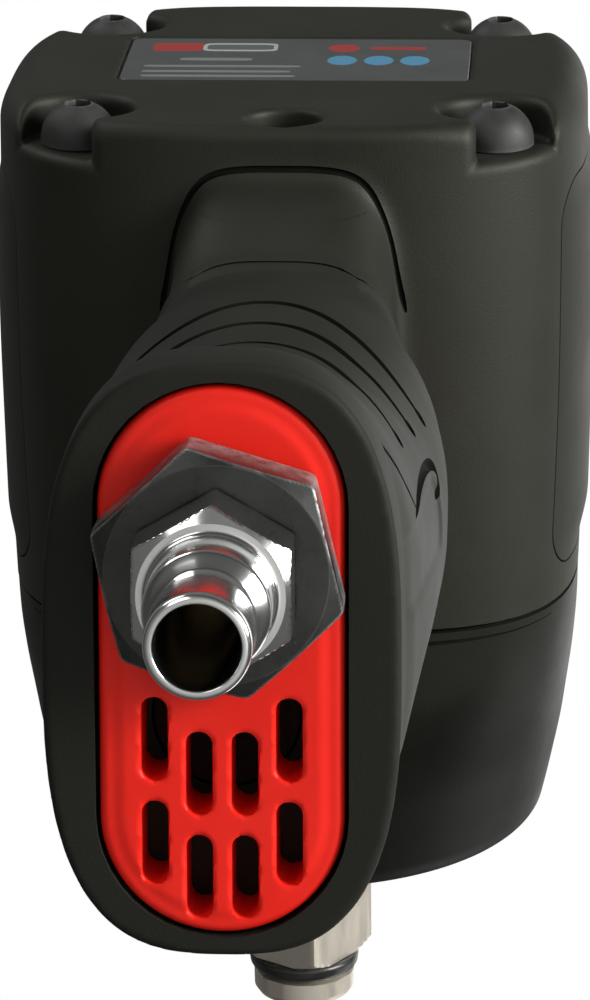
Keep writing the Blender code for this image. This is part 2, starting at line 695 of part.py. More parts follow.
def spring_retainer():
    return ring("spring_retainer", 2.6 * MM, INLET_BORE - GAP, 39.6 * MM, 41.2 * MM, handle_frame(INLET_X), BRASS, 24)


def trigger():
    """The finger lever: a block with a hollowed front, which slides straight back."""
    frame = handle_frame(0, 0, TRIGGER_Z)
    body = block("trigger", (14.6 * MM, -6.2 * MM, -10.9 * MM), (31.5 * MM, 6.2 * MM, 10.9 * MM), frame, RED_PLASTIC)
    bevel(body, 2.2 * MM, 3)
    finger = rod("finger_hollow", 24 * MM, -20 * MM, 20 * MM, frame @ Matrix.Translation((53.0 * MM, 0, 0)) @ Matrix.Rotation(pi / 2, 4, "X"), segments=64)
    socket = rod("trigger_rod_socket", 2.3 * MM, 0, 20 * MM, handle_frame(z=ROD_Z) @ SPINDLE, segments=20)
    return cut(body, finger, socket)


def trigger_rod():
    start = INLET_X + 1.3 * MM + GAP
    return rod("trigger_rod", 2.0 * MM, start, 19.5 * MM, handle_frame(z=ROD_Z) @ SPINDLE, STEEL, segments=16)


def reverse_button():
    """A cross slider, pushed from either side of the neck, that sets the direction of rotation."""
    end = 17.4 * MM
    chamfer = 0.8 * MM
    profile = [
        (0.0, end),
        (4.5 * MM - chamfer, end),
        (4.5 * MM, end - chamfer),
        (4.5 * MM, 3.2 * MM),
        (3.4 * MM, 2.4 * MM),
        (3.4 * MM, -2.4 * MM),
        (4.5 * MM, -3.2 * MM),
        (4.5 * MM, chamfer - end),
        (4.5 * MM - chamfer, -end),
        (0.0, -end),
    ]
    return turned("reverse_button", profile, reverse_frame(), RED_PLASTIC, segments=28)


def power_regulator():
    """A slotted dial sunk in the rear cover."""
    low = REAR_FACE_X - 0.4 * MM
    frame = spindle_frame(0, 0, REGULATOR_Z)
    dial = rod("power_regulator", 3.6 * MM, low, COVER_JOINT_X - 2.3 * MM, frame, NICKEL, segments=28)
    slot = block("dial_slot", (-0.6 * MM, -5 * MM, low - 2 * MM), (0.6 * MM, 5 * MM, low + 1.2 * MM), frame)
    return cut(dial, slot)


def label_plate():
    return block("label_plate", (0.0, -21.1 * MM, -9.3 * MM), (0.2 * MM, 21.1 * MM, 15.0 * MM), FACE_FRAME, LABEL)


# --- Vane motor ----------------------------------------------------------------------------------------------------


def rotor():
    """The slotted rotor with its rear journal, and the splined shaft that drives the hammer frame."""
    profile = [
        (0.0, -64.6 * MM),
        (6.8 * MM, -64.6 * MM),
        (7.6 * MM, -65.4 * MM),
        (7.6 * MM, ROTOR_FRONT_X),
        (ROTOR_RADIUS, ROTOR_FRONT_X),
        (ROTOR_RADIUS, ROTOR_REAR_X),
        (5.6 * MM, ROTOR_REAR_X),
        (5.6 * MM, -114.2 * MM),
        (0.0, -114.2 * MM),
    ]
    made = turned("rotor", profile, spindle_frame(), STEEL, segments=36)
    join(made, extruded("rotor_spline", spline_outline(SPLINE_ROOT, SPLINE_TIP), -65 * MM, -56.9 * MM, spindle_frame()))
    slots = []
    for i in range(VANES):
        low = (ROTOR_RADIUS - VANE_DEPTH - 2 * GAP, -VANE_THICKNESS / 2 - GAP / 2, ROTOR_REAR_X - 1 * MM)
        high = (ROTOR_RADIUS + 2 * MM, VANE_THICKNESS / 2 + GAP / 2, ROTOR_FRONT_X + 1 * MM)
        slots.append(block(f"vane_slot_{i + 1}", low, high, vane_frame(i)))
    return cut(made, *slots)


def vane_frame(i):
    return spindle_frame() @ Matrix.Rotation(tau * (i + 0.5) / VANES, 4, "Z")


def vane(i):
    """A vane fully home in its slot."""
    inner = ROTOR_RADIUS - VANE_DEPTH - GAP
    low = (inner, -VANE_THICKNESS / 2, ROTOR_REAR_X + GAP)
    high = (ROTOR_RADIUS - 0.1 * MM, VANE_THICKNESS / 2, ROTOR_FRONT_X - GAP)
    return block(f"vane_{i + 1}", low, high, vane_frame(i), VANE_RESIN)


def cylinder_liner():
    """The motor's barrel: its bore is set off centre, so that the chambers swell and shrink."""
    liner = rod("cylinder_liner", MOTOR_RADIUS, LINER_REAR_X, LINER_FRONT_X, spindle_frame(), STEEL, segments=40)
    bore = rod("liner_bore", LINER_BORE, -110 * MM, -70 * MM, spindle_frame(0, 0, LINER_OFFSET), segments=40)
    ports = []
    for i, angle in enumerate((-0.5, -0.25, 0.0, 0.25, 0.5)):
        frame = Matrix.Translation((-89.5 * MM + i * 6 * MM - 12 * MM, 0, 0)) @ Matrix.Rotation(pi + angle, 4, "X")
        ports.append(rod(f"exhaust_hole_{i + 1}", 1.6 * MM, 15 * MM, 30 * MM, frame, segments=8))
    return cut(liner, bore, *ports)


def front_end_plate():
    profile = [
        (MOTOR_RADIUS, PLATE_FRONT_X),
        (MOTOR_RADIUS, LINER_FRONT_X + GAP),
        (8.2 * MM, LINER_FRONT_X + GAP),
        (8.2 * MM, PLATE_FRONT_X - BEARING_WIDTH - 2 * GAP),
        (BEARING_RADIUS + GAP, PLATE_FRONT_X - BEARING_WIDTH - 2 * GAP),
        (BEARING_RADIUS + GAP, PLATE_FRONT_X),
    ]
    return turned("front_end_plate", profile, spindle_frame(), ALUMINIUM)


def rear_end_plate():
    seat = PLATE_REAR_X + BEARING_WIDTH + 2 * GAP
    profile = [
        (MOTOR_RADIUS, LINER_REAR_X - GAP),
        (MOTOR_RADIUS, PLATE_REAR_X),
        (BEARING_RADIUS - 2 * MM + GAP, PLATE_REAR_X),
        (BEARING_RADIUS - 2 * MM + GAP, seat),
        (6.2 * MM, seat),
        (6.2 * MM, LINER_REAR_X - GAP),
    ]
    return turned("rear_end_plate", profile, spindle_frame(), ALUMINIUM)


def bearing(name, bore, outside, x_low):
    """Outer race, ball cage and inner race as three rings with running gaps."""
    x_high = x_low + BEARING_WIDTH
    wall = (outside - bore - 2 * GAP) / 3
    frame = spindle_frame()
    ring(f"{name}_outer_race", outside - wall, outside, x_low, x_high, frame, STEEL, 20)
    middle = bore + wall + GAP
    ring(f"{name}_ball_cage", middle, middle + wall - GAP, x_low + 1 * MM, x_high - 1 * MM, frame, BRASS, 20)
    ring(f"{name}_inner_race", bore, bore + wall, x_low, x_high, frame, STEEL, 20)


# --- Hammer clutch -------------------------------------------------------------------------------------------------


def hammer_frame():
    """Two plates joined by side bars; the rear plate takes the rotor's spline."""
    frame = spindle_frame()
    made = rod("hammer_frame", FRAME_RADIUS, FRAME_REAR_X, FRAME_FRONT_X, frame, STEEL, segments=36)
    low_x, high_x = FRAME_REAR_X + FRAME_PLATE, FRAME_FRONT_X - FRAME_PLATE
    window = block("frame_window", (low_x, -21.6 * MM, -30 * MM), (high_x, 21.6 * MM, 30 * MM))
    anvil_hole = rod("frame_anvil_hole", 10.2 * MM, -50 * MM, -30 * MM, frame)
    outline = spline_outline(SPLINE_ROOT + GAP, SPLINE_TIP + GAP)
    spline_hole = extruded("frame_spline_hole", outline, -65 * MM, -50 * MM, frame)
    cut(made, window, anvil_hole, spline_hole)
    for i, z in enumerate((PIN_CIRCLE, -PIN_CIRCLE), 1):
        cut(made, rod(f"frame_pin_hole_{i}", PIN_RADIUS + GAP, -70 * MM, -20 * MM, spindle_frame(0, 0, z), segments=16))
    return made


def hammer(name, x_low, pivot_side):
    """A hammer ring that rocks on one pin; a notch at the other end clears the other pin."""
    z_high = x_low + HAMMER_THICKNESS
    outline = ellipse_power(24.2 * MM, 19.4 * MM, 2.3, 32)
    made = extruded(name, outline, x_low, z_high, spindle_frame(), STEEL)
    bore = rod(f"{name}_bore", HAMMER_BORE, -70 * MM, -20 * MM, spindle_frame(), segments=28)
    hole = rod(f"{name}_pivot", PIN_RADIUS + 0.15 * MM, -70 * MM, -20 * MM, spindle_frame(0, 0, pivot_side * PIN_CIRCLE), segments=16)
    reach = sorted((-pivot_side * 16.4 * MM, -pivot_side * 30 * MM))
    notch = block(f"{name}_notch", (-70 * MM, -6.6 * MM, reach[0]), (-20 * MM, 6.6 * MM, reach[1]))
    return cut(made, bore, hole, notch)


def hammer_pin(name, z):
    return rod(name, PIN_RADIUS, FRAME_REAR_X + GAP, FRAME_FRONT_X - GAP, spindle_frame(0, 0, z), STEEL, segments=16)


def anvil():
    """Output shaft: jaws inside the hammers, journal in the nose bush, and the square with its ring groove."""
    frame = spindle_frame()
    profile = [
        (0.0, -18.0 * MM),
        (8.0 * MM, -18.0 * MM),
        (9.0 * MM, -21.0 * MM),
        (9.0 * MM, -24.0 * MM),
        (9.4 * MM, -24.4 * MM),
        (9.4 * MM, -37.4 * MM),
        (8.5 * MM, -38.0 * MM),
        (8.5 * MM, -56.2 * MM),
        (0.0, -56.2 * MM),
    ]
    made = turned("anvil", profile, frame, NICKEL, segments=28)
    half = DRIVE_SQUARE / 2
    square = block("drive_square", (-20.0 * MM, -half, -half), (0.0, half, half), Matrix.Rotation(radians(45 - 11.8), 4, "X"))
    envelope = turned(
        "square_envelope",
        [
            (0.0, 0.0),
            (5.6 * MM, 0.0),
            (6.45 * MM, -0.8 * MM),
            (6.45 * MM, -3.0 * MM),
            (5.3 * MM, -3.5 * MM),
            (5.3 * MM, -5.6 * MM),
            (7.0 * MM, -5.65 * MM),
            (8.8 * MM, -6.6 * MM),
            (8.8 * MM, -22.0 * MM),
            (0.0, -22.0 * MM),
        ],
        frame,
        segments=32,
    )
    keep(square, envelope)
    jaws = block("anvil_jaws", (-55.9 * MM, -11.0 * MM, -3.4 * MM), (-38.6 * MM, 11.0 * MM, 3.4 * MM))
    return join(made, square, jaws)


def friction_ring():
    """The snap ring that keeps a socket on the square."""
    x_low, x_high = -5.5 * MM, -3.7 * MM
    profile = [
        (6.6 * MM, x_high),
        (7.0 * MM, x_high - 0.4 * MM),
        (7.0 * MM, x_low + 0.4 * MM),
        (6.6 * MM, x_low),
        (5.9 * MM, x_low),
        (5.9 * MM, x_high),
    ]
    return turned("friction_ring", profile, spindle_frame(), BLACK_STEEL, segments=28)


def build():
    motor_housing()
    rear_cover()
    hammer_case()
    gasket("rear_gasket", COVER_JOINT_X - 0.5 * MM, COVER_JOINT_X - 0.2 * MM, 35.0 * MM, 35.6 * MM, 24.0 * MM)
    for i, (y, z) in enumerate(screw_places(), 1):
        cover_screw(i, y, z)
    side_pad(1, "left")
    side_pad(-1, "right")
    handle_grip()
    exhaust_cover()
    inlet_bushing()
    inlet_nipple()
    inlet_screen()
    muffler()
    valve_seat()
    throttle_valve()
    throttle_spring()
    spring_retainer()
    trigger()
    trigger_rod()
    reverse_button()
    power_regulator()
    label_plate()
    rotor()
    for i in range(VANES):
        vane(i)
    cylinder_liner()
    front_end_plate()
    rear_end_plate()
    bearing("front_bearing", 7.7 * MM, BEARING_RADIUS, PLATE_FRONT_X - BEARING_WIDTH - GAP)
    bearing("rear_bearing", 5.7 * MM, BEARING_RADIUS - 2 * MM, PLATE_REAR_X + GAP)
    hammer_frame()
    middle = (FRAME_REAR_X + FRAME_FRONT_X) / 2
    hammer("rear_hammer", middle - HAMMER_THICKNESS - GAP, 1)
    hammer("front_hammer", middle + GAP, -1)
    hammer_pin("upper_hammer_pin", PIN_CIRCLE)
    hammer_pin("lower_hammer_pin", -PIN_CIRCLE)
    anvil()
    ring("anvil_bush", 9.7 * MM, 11.7 * MM, -33.6 * MM, -24.6 * MM, spindle_frame(), BRASS, 24)
    ring("anvil_seal", 9.3 * MM, 11.7 * MM, -24.2 * MM, -21.4 * MM, spindle_frame(), RUBBER, 24)
    friction_ring()


build()
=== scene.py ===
"""Looks of the compact half-inch air impact wrench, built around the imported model.

Lengths inside the shape functions are millimetres in the model's own axes: +X forward, +Y left, +Z up. The handle
has a frame of its own, leaning back by RAKE, whose z runs up from the middle of the base plane.
"""

import json
from math import atan, cos, pi, radians, sin, sqrt, tau

import bmesh
import bpy
import numpy as np
from mathutils import Matrix, Vector

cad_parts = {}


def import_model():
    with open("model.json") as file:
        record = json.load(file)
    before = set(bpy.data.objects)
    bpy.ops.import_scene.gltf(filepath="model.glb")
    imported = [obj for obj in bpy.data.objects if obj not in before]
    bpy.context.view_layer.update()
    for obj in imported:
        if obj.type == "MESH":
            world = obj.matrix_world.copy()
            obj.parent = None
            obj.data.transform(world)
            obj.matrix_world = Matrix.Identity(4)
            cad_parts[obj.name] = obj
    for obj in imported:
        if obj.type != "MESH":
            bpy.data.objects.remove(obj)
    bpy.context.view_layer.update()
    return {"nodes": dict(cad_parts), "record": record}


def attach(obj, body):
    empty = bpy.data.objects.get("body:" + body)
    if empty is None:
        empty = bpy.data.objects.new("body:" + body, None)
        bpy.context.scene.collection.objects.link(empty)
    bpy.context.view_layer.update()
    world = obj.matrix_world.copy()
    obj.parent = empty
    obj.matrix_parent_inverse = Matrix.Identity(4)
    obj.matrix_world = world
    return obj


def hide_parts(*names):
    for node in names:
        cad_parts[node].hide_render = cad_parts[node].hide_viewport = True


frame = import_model()

MM = 0.001
RAKE = radians(6.3)
BASE_CENTRE = (-103.0, 0.0, -150.0)
INLET_X = -10.2
CASE_JOINT_X = -61.6
COVER_JOINT_X = -115.5
REAR_X = -121.5
SCREW_Y, SCREW_Z = 24.5, 24.0
HEAD_SEATS = (-119.7, -118.0)  # of the lower and the upper pair of screws
DIAL_Z = -30.0
LABEL_Z, LABEL_HALF, LABEL_HALF_WIDTH = 2.8, 12.1, 21.0
FACE_SLOPE = 0.045
FACE_TOP = 36.0
SEAM = 0.3

# --- Shape functions: numpy distances in millimetres, negative inside ----------------------------------------------


def eased(points, spread, low=-260.0, high=260.0):
    """A function through (position, value) points with its corners rounded over about the spread."""
    step = 0.25
    where = np.arange(low, high, step)
    xs, ys = zip(*points)
    values = np.interp(where, xs, ys)
    reach = int(3 * spread / step)
    kernel = np.exp(-0.5 * (np.arange(-reach, reach + 1) * step / spread) ** 2)
    padded = np.pad(values, reach, mode="edge")
    smooth = np.convolve(padded, kernel / kernel.sum(), mode="valid")
    return lambda t: np.interp(t, where, smooth)


def to_handle(p):
    """Model coordinates to the handle's own."""
    dx, dz = p[0] - BASE_CENTRE[0], p[2] - BASE_CENTRE[2]
    return dx * cos(RAKE) - dz * sin(RAKE), p[1], dx * sin(RAKE) + dz * cos(RAKE)


def handle_frame(x=0.0, y=0.0, z=0.0):
    """The handle's frame at one of its points, as a matrix in metres."""
    base = Matrix.Translation(Vector(BASE_CENTRE) * MM)
    return base @ Matrix.Rotation(RAKE, 4, "Y") @ Matrix.Translation(Vector((x, y, z)) * MM)


def spindle_frame(x=0.0, y=0.0, z=0.0):
    """Local z along the spindle, at a point in millimetres."""
    return Matrix.Translation(Vector((x, y, z)) * MM) @ Matrix.Rotation(pi / 2, 4, "Y")


def squircle(a, b, half_a, half_b, power):
    """Distance to a superellipse, measured along the ray from its centre."""
    ratio = ((np.abs(a) / half_a) ** power + (np.abs(b) / half_b) ** power) ** (1.0 / power) + 1e-6
    return np.hypot(a, b) * (1.0 - 1.0 / ratio) - (ratio < 1e-3) * np.minimum(half_a, half_b)


def rounded_max(a, b, radius):
    """Overlap of two solids with a rounded outer edge."""
    ua, ub = np.maximum(a + radius, 0.0), np.maximum(b + radius, 0.0)
    return np.minimum(np.maximum(a, b), -radius) + np.hypot(ua, ub)


def blended_min(a, b, radius):
    """Joined solids with a cove of about the radius between them."""
    h = np.maximum(radius - np.abs(a - b), 0.0) / radius
    return np.minimum(a, b) - h * h * h * radius / 6.0


def without(a, b, radius=0.25):
    """a with b taken out, and the rim broken by the radius."""
    return rounded_max(a, -b, radius)


def smoothstep(t, low, high):
    u = np.clip((t - low) / (high - low), 0.0, 1.0)
    return u * u * (3.0 - 2.0 * u)


def groove(distance, half_width, depth):
    """How far a rounded groove sinks the surface at a distance from its centre line."""
    return depth * np.exp(-((distance / half_width) ** 2))


def box(a, b, half_a, half_b, radius):
    """Rounded rectangle."""
    qa, qb = np.abs(a) - half_a + radius, np.abs(b) - half_b + radius
    return np.hypot(np.maximum(qa, 0), np.maximum(qb, 0)) + np.minimum(np.maximum(qa, qb), 0) - radius


def stadium(a, b, half_length, half_width):
    """Slot shape, long in a."""
    return np.hypot(np.maximum(np.abs(a) - (half_length - half_width), 0.0), b) - half_width


# --- Turning a shape function into a mesh ---------------------------------------------------------------------------

CORNERS = np.array([(i, j, k) for i in (0, 1) for j in (0, 1) for k in (0, 1)])
CELL_EDGES = [(a, b) for a in range(8) for b in range(a + 1, 8) if np.abs(CORNERS[a] - CORNERS[b]).sum() == 1]
COARSE = 4


def sampled(field, low, cell, shape):
    """Field values on a grid, worked out only near the surface and given a plain sign elsewhere."""
    coarse_shape = [n // COARSE + 2 for n in shape]
    axes = [low[i] + cell * COARSE * np.arange(coarse_shape[i]) for i in range(3)]
    coarse = field(np.stack(np.meshgrid(*axes, indexing="ij")))
    near = np.abs(coarse) < cell * COARSE * 2.2
    block = np.zeros([n - 1 for n in coarse_shape], bool)
    for i, j, k in CORNERS:
        block |= near[i : i + block.shape[0], j : j + block.shape[1], k : k + block.shape[2]]

    def spread(values):
        for axis in range(3):
            values = np.repeat(values, COARSE, axis=axis)
        return values[: shape[0], : shape[1], : shape[2]]

    values = spread(np.where(coarse[:-1, :-1, :-1] < 0, -9.0, 9.0).astype(np.float32))
    where = np.argwhere(spread(block))
    for start in range(0, len(where), 400000):
        part = where[start : start + 400000]
        values[tuple(part.T)] = field(low[:, None] + cell * part.T)
    return values


def surface_net(field, low, high, cell):
    """Quads round the zero of a field: one vertex in each cell that the surface crosses."""
    low = np.array(low, float) - cell * 1.7
    shape = [int(np.ceil((high[i] - low[i]) / cell)) + 4 for i in range(3)]
    values = sampled(field, low, cell, shape)
    inside = values < 0
    count = np.zeros([n - 1 for n in shape], np.int8)
    for i, j, k in CORNERS:
        count += inside[i : i + count.shape[0], j : j + count.shape[1], k : k + count.shape[2]]
    cells = np.argwhere((count > 0) & (count < 8))
    index = np.full(count.shape, -1, np.int32)
    index[tuple(cells.T)] = np.arange(len(cells))
    corner = np.stack([values[tuple((cells + c).T)] for c in CORNERS], 1)
    total, hits = np.zeros((len(cells), 3)), np.zeros(len(cells))
    for a, b in CELL_EDGES:
        crossed = (corner[:, a] < 0) != (corner[:, b] < 0)
        share = np.where(crossed, corner[:, a] / np.where(crossed, corner[:, a] - corner[:, b], 1.0), 0.0)
        total += crossed[:, None] * (CORNERS[a] + share[:, None] * (CORNERS[b] - CORNERS[a]))
        hits += crossed
    points = low + cell * (cells + total / hits[:, None])
    quads = []
    for axis in range(3):
        others = [a for a in range(3) if a != axis]
        first = [slice(1, None)] * 3
        first[axis] = slice(0, -1)
        second = list(first)
        second[axis] = slice(1, None)
        a, b = inside[tuple(first)], inside[tuple(second)]
        for flip, crossing in ((axis != 1, a & ~b), (axis == 1, ~a & b)):
            at = np.argwhere(crossing)
            for other in others:
                at[:, other] += 1
            ring = []
            for du, dv in ((0, 0), (-1, 0), (-1, -1), (0, -1)):
                c = at.copy()
                c[:, others[0]] += du
                c[:, others[1]] += dv
                ring.append(index[tuple(c.T)])
            quad = np.stack(ring, 1)
            quads.append(quad if flip else quad[:, ::-1])
    quads = np.concatenate(quads)
    return points, quads


def gradient(field, p, step=0.03):
    shifts = np.eye(3)[:, :, None] * step
    return np.stack([field(p + s) - field(p - s) for s in shifts]) / (2 * step)


def settle(field, points, quads, cell):
    """Evens out the net and pulls it onto the true surface."""
    edges = np.concatenate([quads[:, [i, (i + 1) % 4]] for i in range(4)])
    p = points.T.copy()
    for relaxed in (True, True, False):
        if relaxed:
            total, hits = np.zeros_like(p), np.zeros(p.shape[1])
            for axis in range(3):
                total[axis] = np.bincount(edges[:, 0], p[axis][edges[:, 1]], p.shape[1])
                total[axis] += np.bincount(edges[:, 1], p[axis][edges[:, 0]], p.shape[1])
            hits = np.bincount(edges.ravel(), minlength=p.shape[1])
            p = 0.4 * p + 0.6 * total / hits
        for _ in range(2):
            slope = gradient(field, p)
            move = -field(p) * slope / np.maximum((slope**2).sum(0), 0.05)
            p += move * np.minimum(1.0, 0.6 * cell / (np.linalg.norm(move, axis=0) + 1e-9))
    return p.T


def grown(name, field, low, high, cell):
    """A mesh object of a shape function, in metres in the model's axes."""
    points, quads = surface_net(field, low, high, cell)
    points = settle(field, points, quads, cell)
    mesh = bpy.data.meshes.new(name)
    mesh.vertices.add(len(points))
    mesh.vertices.foreach_set("co", (points * MM).ravel())
    mesh.loops.add(quads.size)
    mesh.loops.foreach_set("vertex_index", quads.ravel())
    mesh.polygons.add(len(quads))
    mesh.polygons.foreach_set("loop_start", np.arange(0, quads.size, 4))
    mesh.polygons.foreach_set("loop_total", np.full(len(quads), 4))
    mesh.update()
    mesh.validate()
    return placed(name, mesh)


# --- Object helpers -------------------------------------------------------------------------------------------------


def placed(name, mesh, where=None):
    """A new object; a frame is worked into its vertices."""
    if where is not None:
        mesh.transform(where)
    mesh.shade_smooth()
    made = bpy.data.objects.new(name, mesh)
    bpy.context.scene.collection.objects.link(made)
    return made


def applied(made):
    """Turns an object's modifiers into its mesh."""
    graph = bpy.context.evaluated_depsgraph_get()
    mesh = bpy.data.meshes.new_from_object(made.evaluated_get(graph))
    made.modifiers.clear()
    made.data = mesh
    return made


def combined(made, others, operation, solver="MANIFOLD"):
    """Booleans with the others, which are used up."""
    for other in others:
        modifier = made.modifiers.new("cut", "BOOLEAN")
        modifier.operation = operation
        modifier.solver = solver
        modifier.object = other
    applied(made)
    for other in others:
        bpy.data.objects.remove(other)
    return made


def marked(made, number):
    """Gives all faces one of the looks a piece can have beside its own (0): 1 is the painted shade of groove walls, 2
    the rim's coat.
    """
    made.data.materials.clear()
    for look in (COMPOSITE, GROOVE_PAINTED_SHADE, RIM_COAT):
        made.data.materials.append(look)
    made.data.polygons.foreach_set("material_index", [number] * len(made.data.polygons))
    return made


def scored(made, field, runs, radius, tip=0.0):
    """Cuts fine grooves along runs of points drawn onto the field's surface, their walls painted dark as painted shade;
    tip is the radius of the end dots.
    """
    if len(made.data.materials) < 3:
        marked(made, 0)
    cutters = []
    for run in runs:
        points = np.array(run, dtype=float).T
        for _ in range(6):
            slope = gradient(field, points)
            points = points - 0.8 * field(points) * slope / np.maximum((slope**2).sum(0), 0.05)
        normals = [Vector(n) for n in gradient(field, points).T]
        laid = [Vector(p) * MM for p in points.T]
        bm = bmesh.new()
        rings = []
        for k, (point, normal) in enumerate(zip(laid, normals)):
            ahead = laid[min(k + 1, len(laid) - 1)] - laid[max(k - 1, 0)]
            side = ahead.cross(normal).normalized()
            out = side.cross(ahead).normalized()
            thick = radius * MM * (1.0 if tip else min(1.0, 0.2 + 0.1 * min(k, len(laid) - 1 - k)))
            turn = [tau * i / 8 for i in range(8)]
            rings.append([bm.verts.new(point + (side * cos(a) + out * sin(a)) * thick) for a in turn])
        for lower, upper in zip(rings, rings[1:]):
            for i in range(8):
                bm.faces.new((lower[i], lower[(i + 1) % 8], upper[(i + 1) % 8], upper[i]))
        bm.faces.new(rings[0])
        bm.faces.new(rings[-1])
        # The cutter carries look 1, the painted shade, onto the walls it cuts.
        cutters.append(marked(from_bmesh("line", bm), 1))
        for point in (laid[0], laid[-1]) if tip else ():
            bm = bmesh.new()
            bmesh.ops.create_icosphere(bm, subdivisions=2, radius=tip * MM)
            cutters.append(marked(from_bmesh("dot", bm, Matrix.Translation(point)), 1))
    return combined(made, cutters, "DIFFERENCE")


def from_bmesh(name, bm, where=None):
    mesh = bpy.data.meshes.new(name)
    bmesh.ops.recalc_face_normals(bm, faces=bm.faces)
    bm.to_mesh(mesh)
    bm.free()
    return placed(name, mesh, where)


def spun(name, rings, where, segments=192):
    """A solid about local z from (radius, z) in millimetres. A radius may be a function of the angle; 0 ends it."""
    bm = bmesh.new()
    turn = [tau * i / segments for i in range(segments)]
    rows = []
    for radius, z in rings:
        at = radius if callable(radius) else lambda a, r=radius: r
        around = turn if radius else [0.0]
        rows.append([bm.verts.new((at(a) * MM * cos(a), at(a) * MM * sin(a), z * MM)) for a in around])
    pairs = list(zip(rows, rows[1:]))
    if len(rows[0]) > 1:
        pairs.append((rows[-1], rows[0]))
    for lower, upper in pairs:
        for i in range(segments):
            j = (i + 1) % segments
            corners = [lower[i % len(lower)], lower[j % len(lower)], upper[j % len(upper)], upper[i % len(upper)]]
            bm.faces.new(list(dict.fromkeys(corners)))
    return from_bmesh(name, bm, where)


def lofted(name, sections, where):
    """A skin through (z, points) sections in millimetres, closed by flat ends."""
    bm = bmesh.new()
    rings = [[bm.verts.new((x * MM, y * MM, z * MM)) for x, y in points] for z, points in sections]
    for lower, upper in zip(rings, rings[1:]):
        for i in range(len(lower)):
            j = (i + 1) % len(lower)
            bm.faces.new((lower[i], lower[j], upper[j], upper[i]))
    bm.faces.new(rings[0])
    bm.faces.new(rings[-1])
    return from_bmesh(name, bm, where)


def rounded_profile(points, radius, steps=4):
    """Replaces each inner corner of a (radius, z) profile by a short arc."""
    out = [points[0]]
    for before, here, after in zip(points, points[1:], points[2:]):
        here_v, a, b = Vector(here), Vector(before), Vector(after)
        to_a, to_b = a - here_v, b - here_v
        reach = min(radius, to_a.length * 0.45, to_b.length * 0.45)
        start, end = here_v + to_a.normalized() * reach, here_v + to_b.normalized() * reach
        for i in range(steps + 1):
            t = i / steps
            mixed = start * (1 - t) ** 2 + here_v * 2 * t * (1 - t) + end * t**2
            out.append((mixed.x, mixed.y))
    out.append(points[-1])
    return out


def obround(half_length, half_width, arc=20):
    middle = half_length - half_width
    points = []
    for side, start in ((1, -pi / 2), (-1, pi / 2)):
        for i in range(arc + 1):
            angle = start + pi * i / arc
            points.append((side * middle + half_width * cos(angle), half_width * sin(angle)))
    return points


def crisp(made, angle=32):
    made.data.set_sharp_from_angle(angle=radians(angle))
    return made


def finished(made, look, body, slot, *nodes):
    """Gives a piece its material and its body, and hides the CAD nodes it stands for."""
    if made.data.materials:
        made.data.materials[0] = look
    else:
        made.data.materials.append(look)
    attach(made, body)
    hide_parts(*nodes)
    return made


# --- Materials ------------------------------------------------------------------------------------------------------


class Look:
    """A small builder for node materials."""

    def __init__(self, name):
        self.made = bpy.data.materials.new(name)
        self.made.use_nodes = True
        self.tree = self.made.node_tree
        self.shader = self.tree.nodes["Principled BSDF"]
        self.where = self.node("ShaderNodeTexCoord").outputs["Object"]

    def node(self, kind, **settings):
        made = self.tree.nodes.new(kind)
        for key, value in settings.items():
            setattr(made, key, value)
        return made

    def link(self, a, b):
        self.tree.links.new(a, b)

    def set(self, **values):
        for key, value in values.items():
            socket = self.shader.inputs[key.replace("_", " ")]
            socket.default_value = (*value, 1.0) if isinstance(value, tuple) else value
        return self

    def noise(self, size, detail=3.0, roughness=0.55, stretch=None):
        """Noise whose grains are about the size, in millimetres."""
        made = self.node("ShaderNodeTexNoise")
        made.inputs["Scale"].default_value = 1.0 / (size * MM)
        made.inputs["Detail"].default_value = detail
        made.inputs["Roughness"].default_value = roughness
        if stretch:
            mapping = self.node("ShaderNodeMapping")
            mapping.inputs["Scale"].default_value = stretch
            self.link(self.where, mapping.inputs["Vector"])
            self.link(mapping.outputs["Vector"], made.inputs["Vector"])
        else:
            self.link(self.where, made.inputs["Vector"])
        return made.outputs["Fac"]

    def ramp(self, source, low, high, from_low=0.3, from_high=0.7):
        made = self.node("ShaderNodeMapRange")
        for key, value in (("From Min", from_low), ("From Max", from_high), ("To Min", low), ("To Max", high)):
            made.inputs[key].default_value = value
        self.link(source, made.inputs["Value"])
        return made.outputs["Result"]

    def mixed(self, factor, first, second):
        made = self.node("ShaderNodeMix", data_type="RGBA")
        for socket, value in ((made.inputs[6], first), (made.inputs[7], second)):
            if isinstance(value, tuple):
                socket.default_value = (*value, 1.0)
            else:
                self.link(value, socket)
        self.link(factor, made.inputs["Factor"])
        return made.outputs[2]

    def math(self, operation, a, b):
        made = self.node("ShaderNodeMath", operation=operation)
        for socket, value in ((made.inputs[0], a), (made.inputs[1], b)):
            if isinstance(value, float):
                socket.default_value = value
            else:
                self.link(value, socket)
        return made.outputs[0]

    def bump(self, height, distance, before=None):
        made = self.node("ShaderNodeBump")
        made.inputs["Distance"].default_value = distance * MM
        made.inputs["Strength"].default_value = 1.0
        self.link(height, made.inputs["Height"])
        if before:
            self.link(before, made.inputs["Normal"])
        return made.outputs["Normal"]

    def use(self, **sources):
        for key, source in sources.items():
            self.link(source, self.shader.inputs[key.replace("_", " ")])
        return self


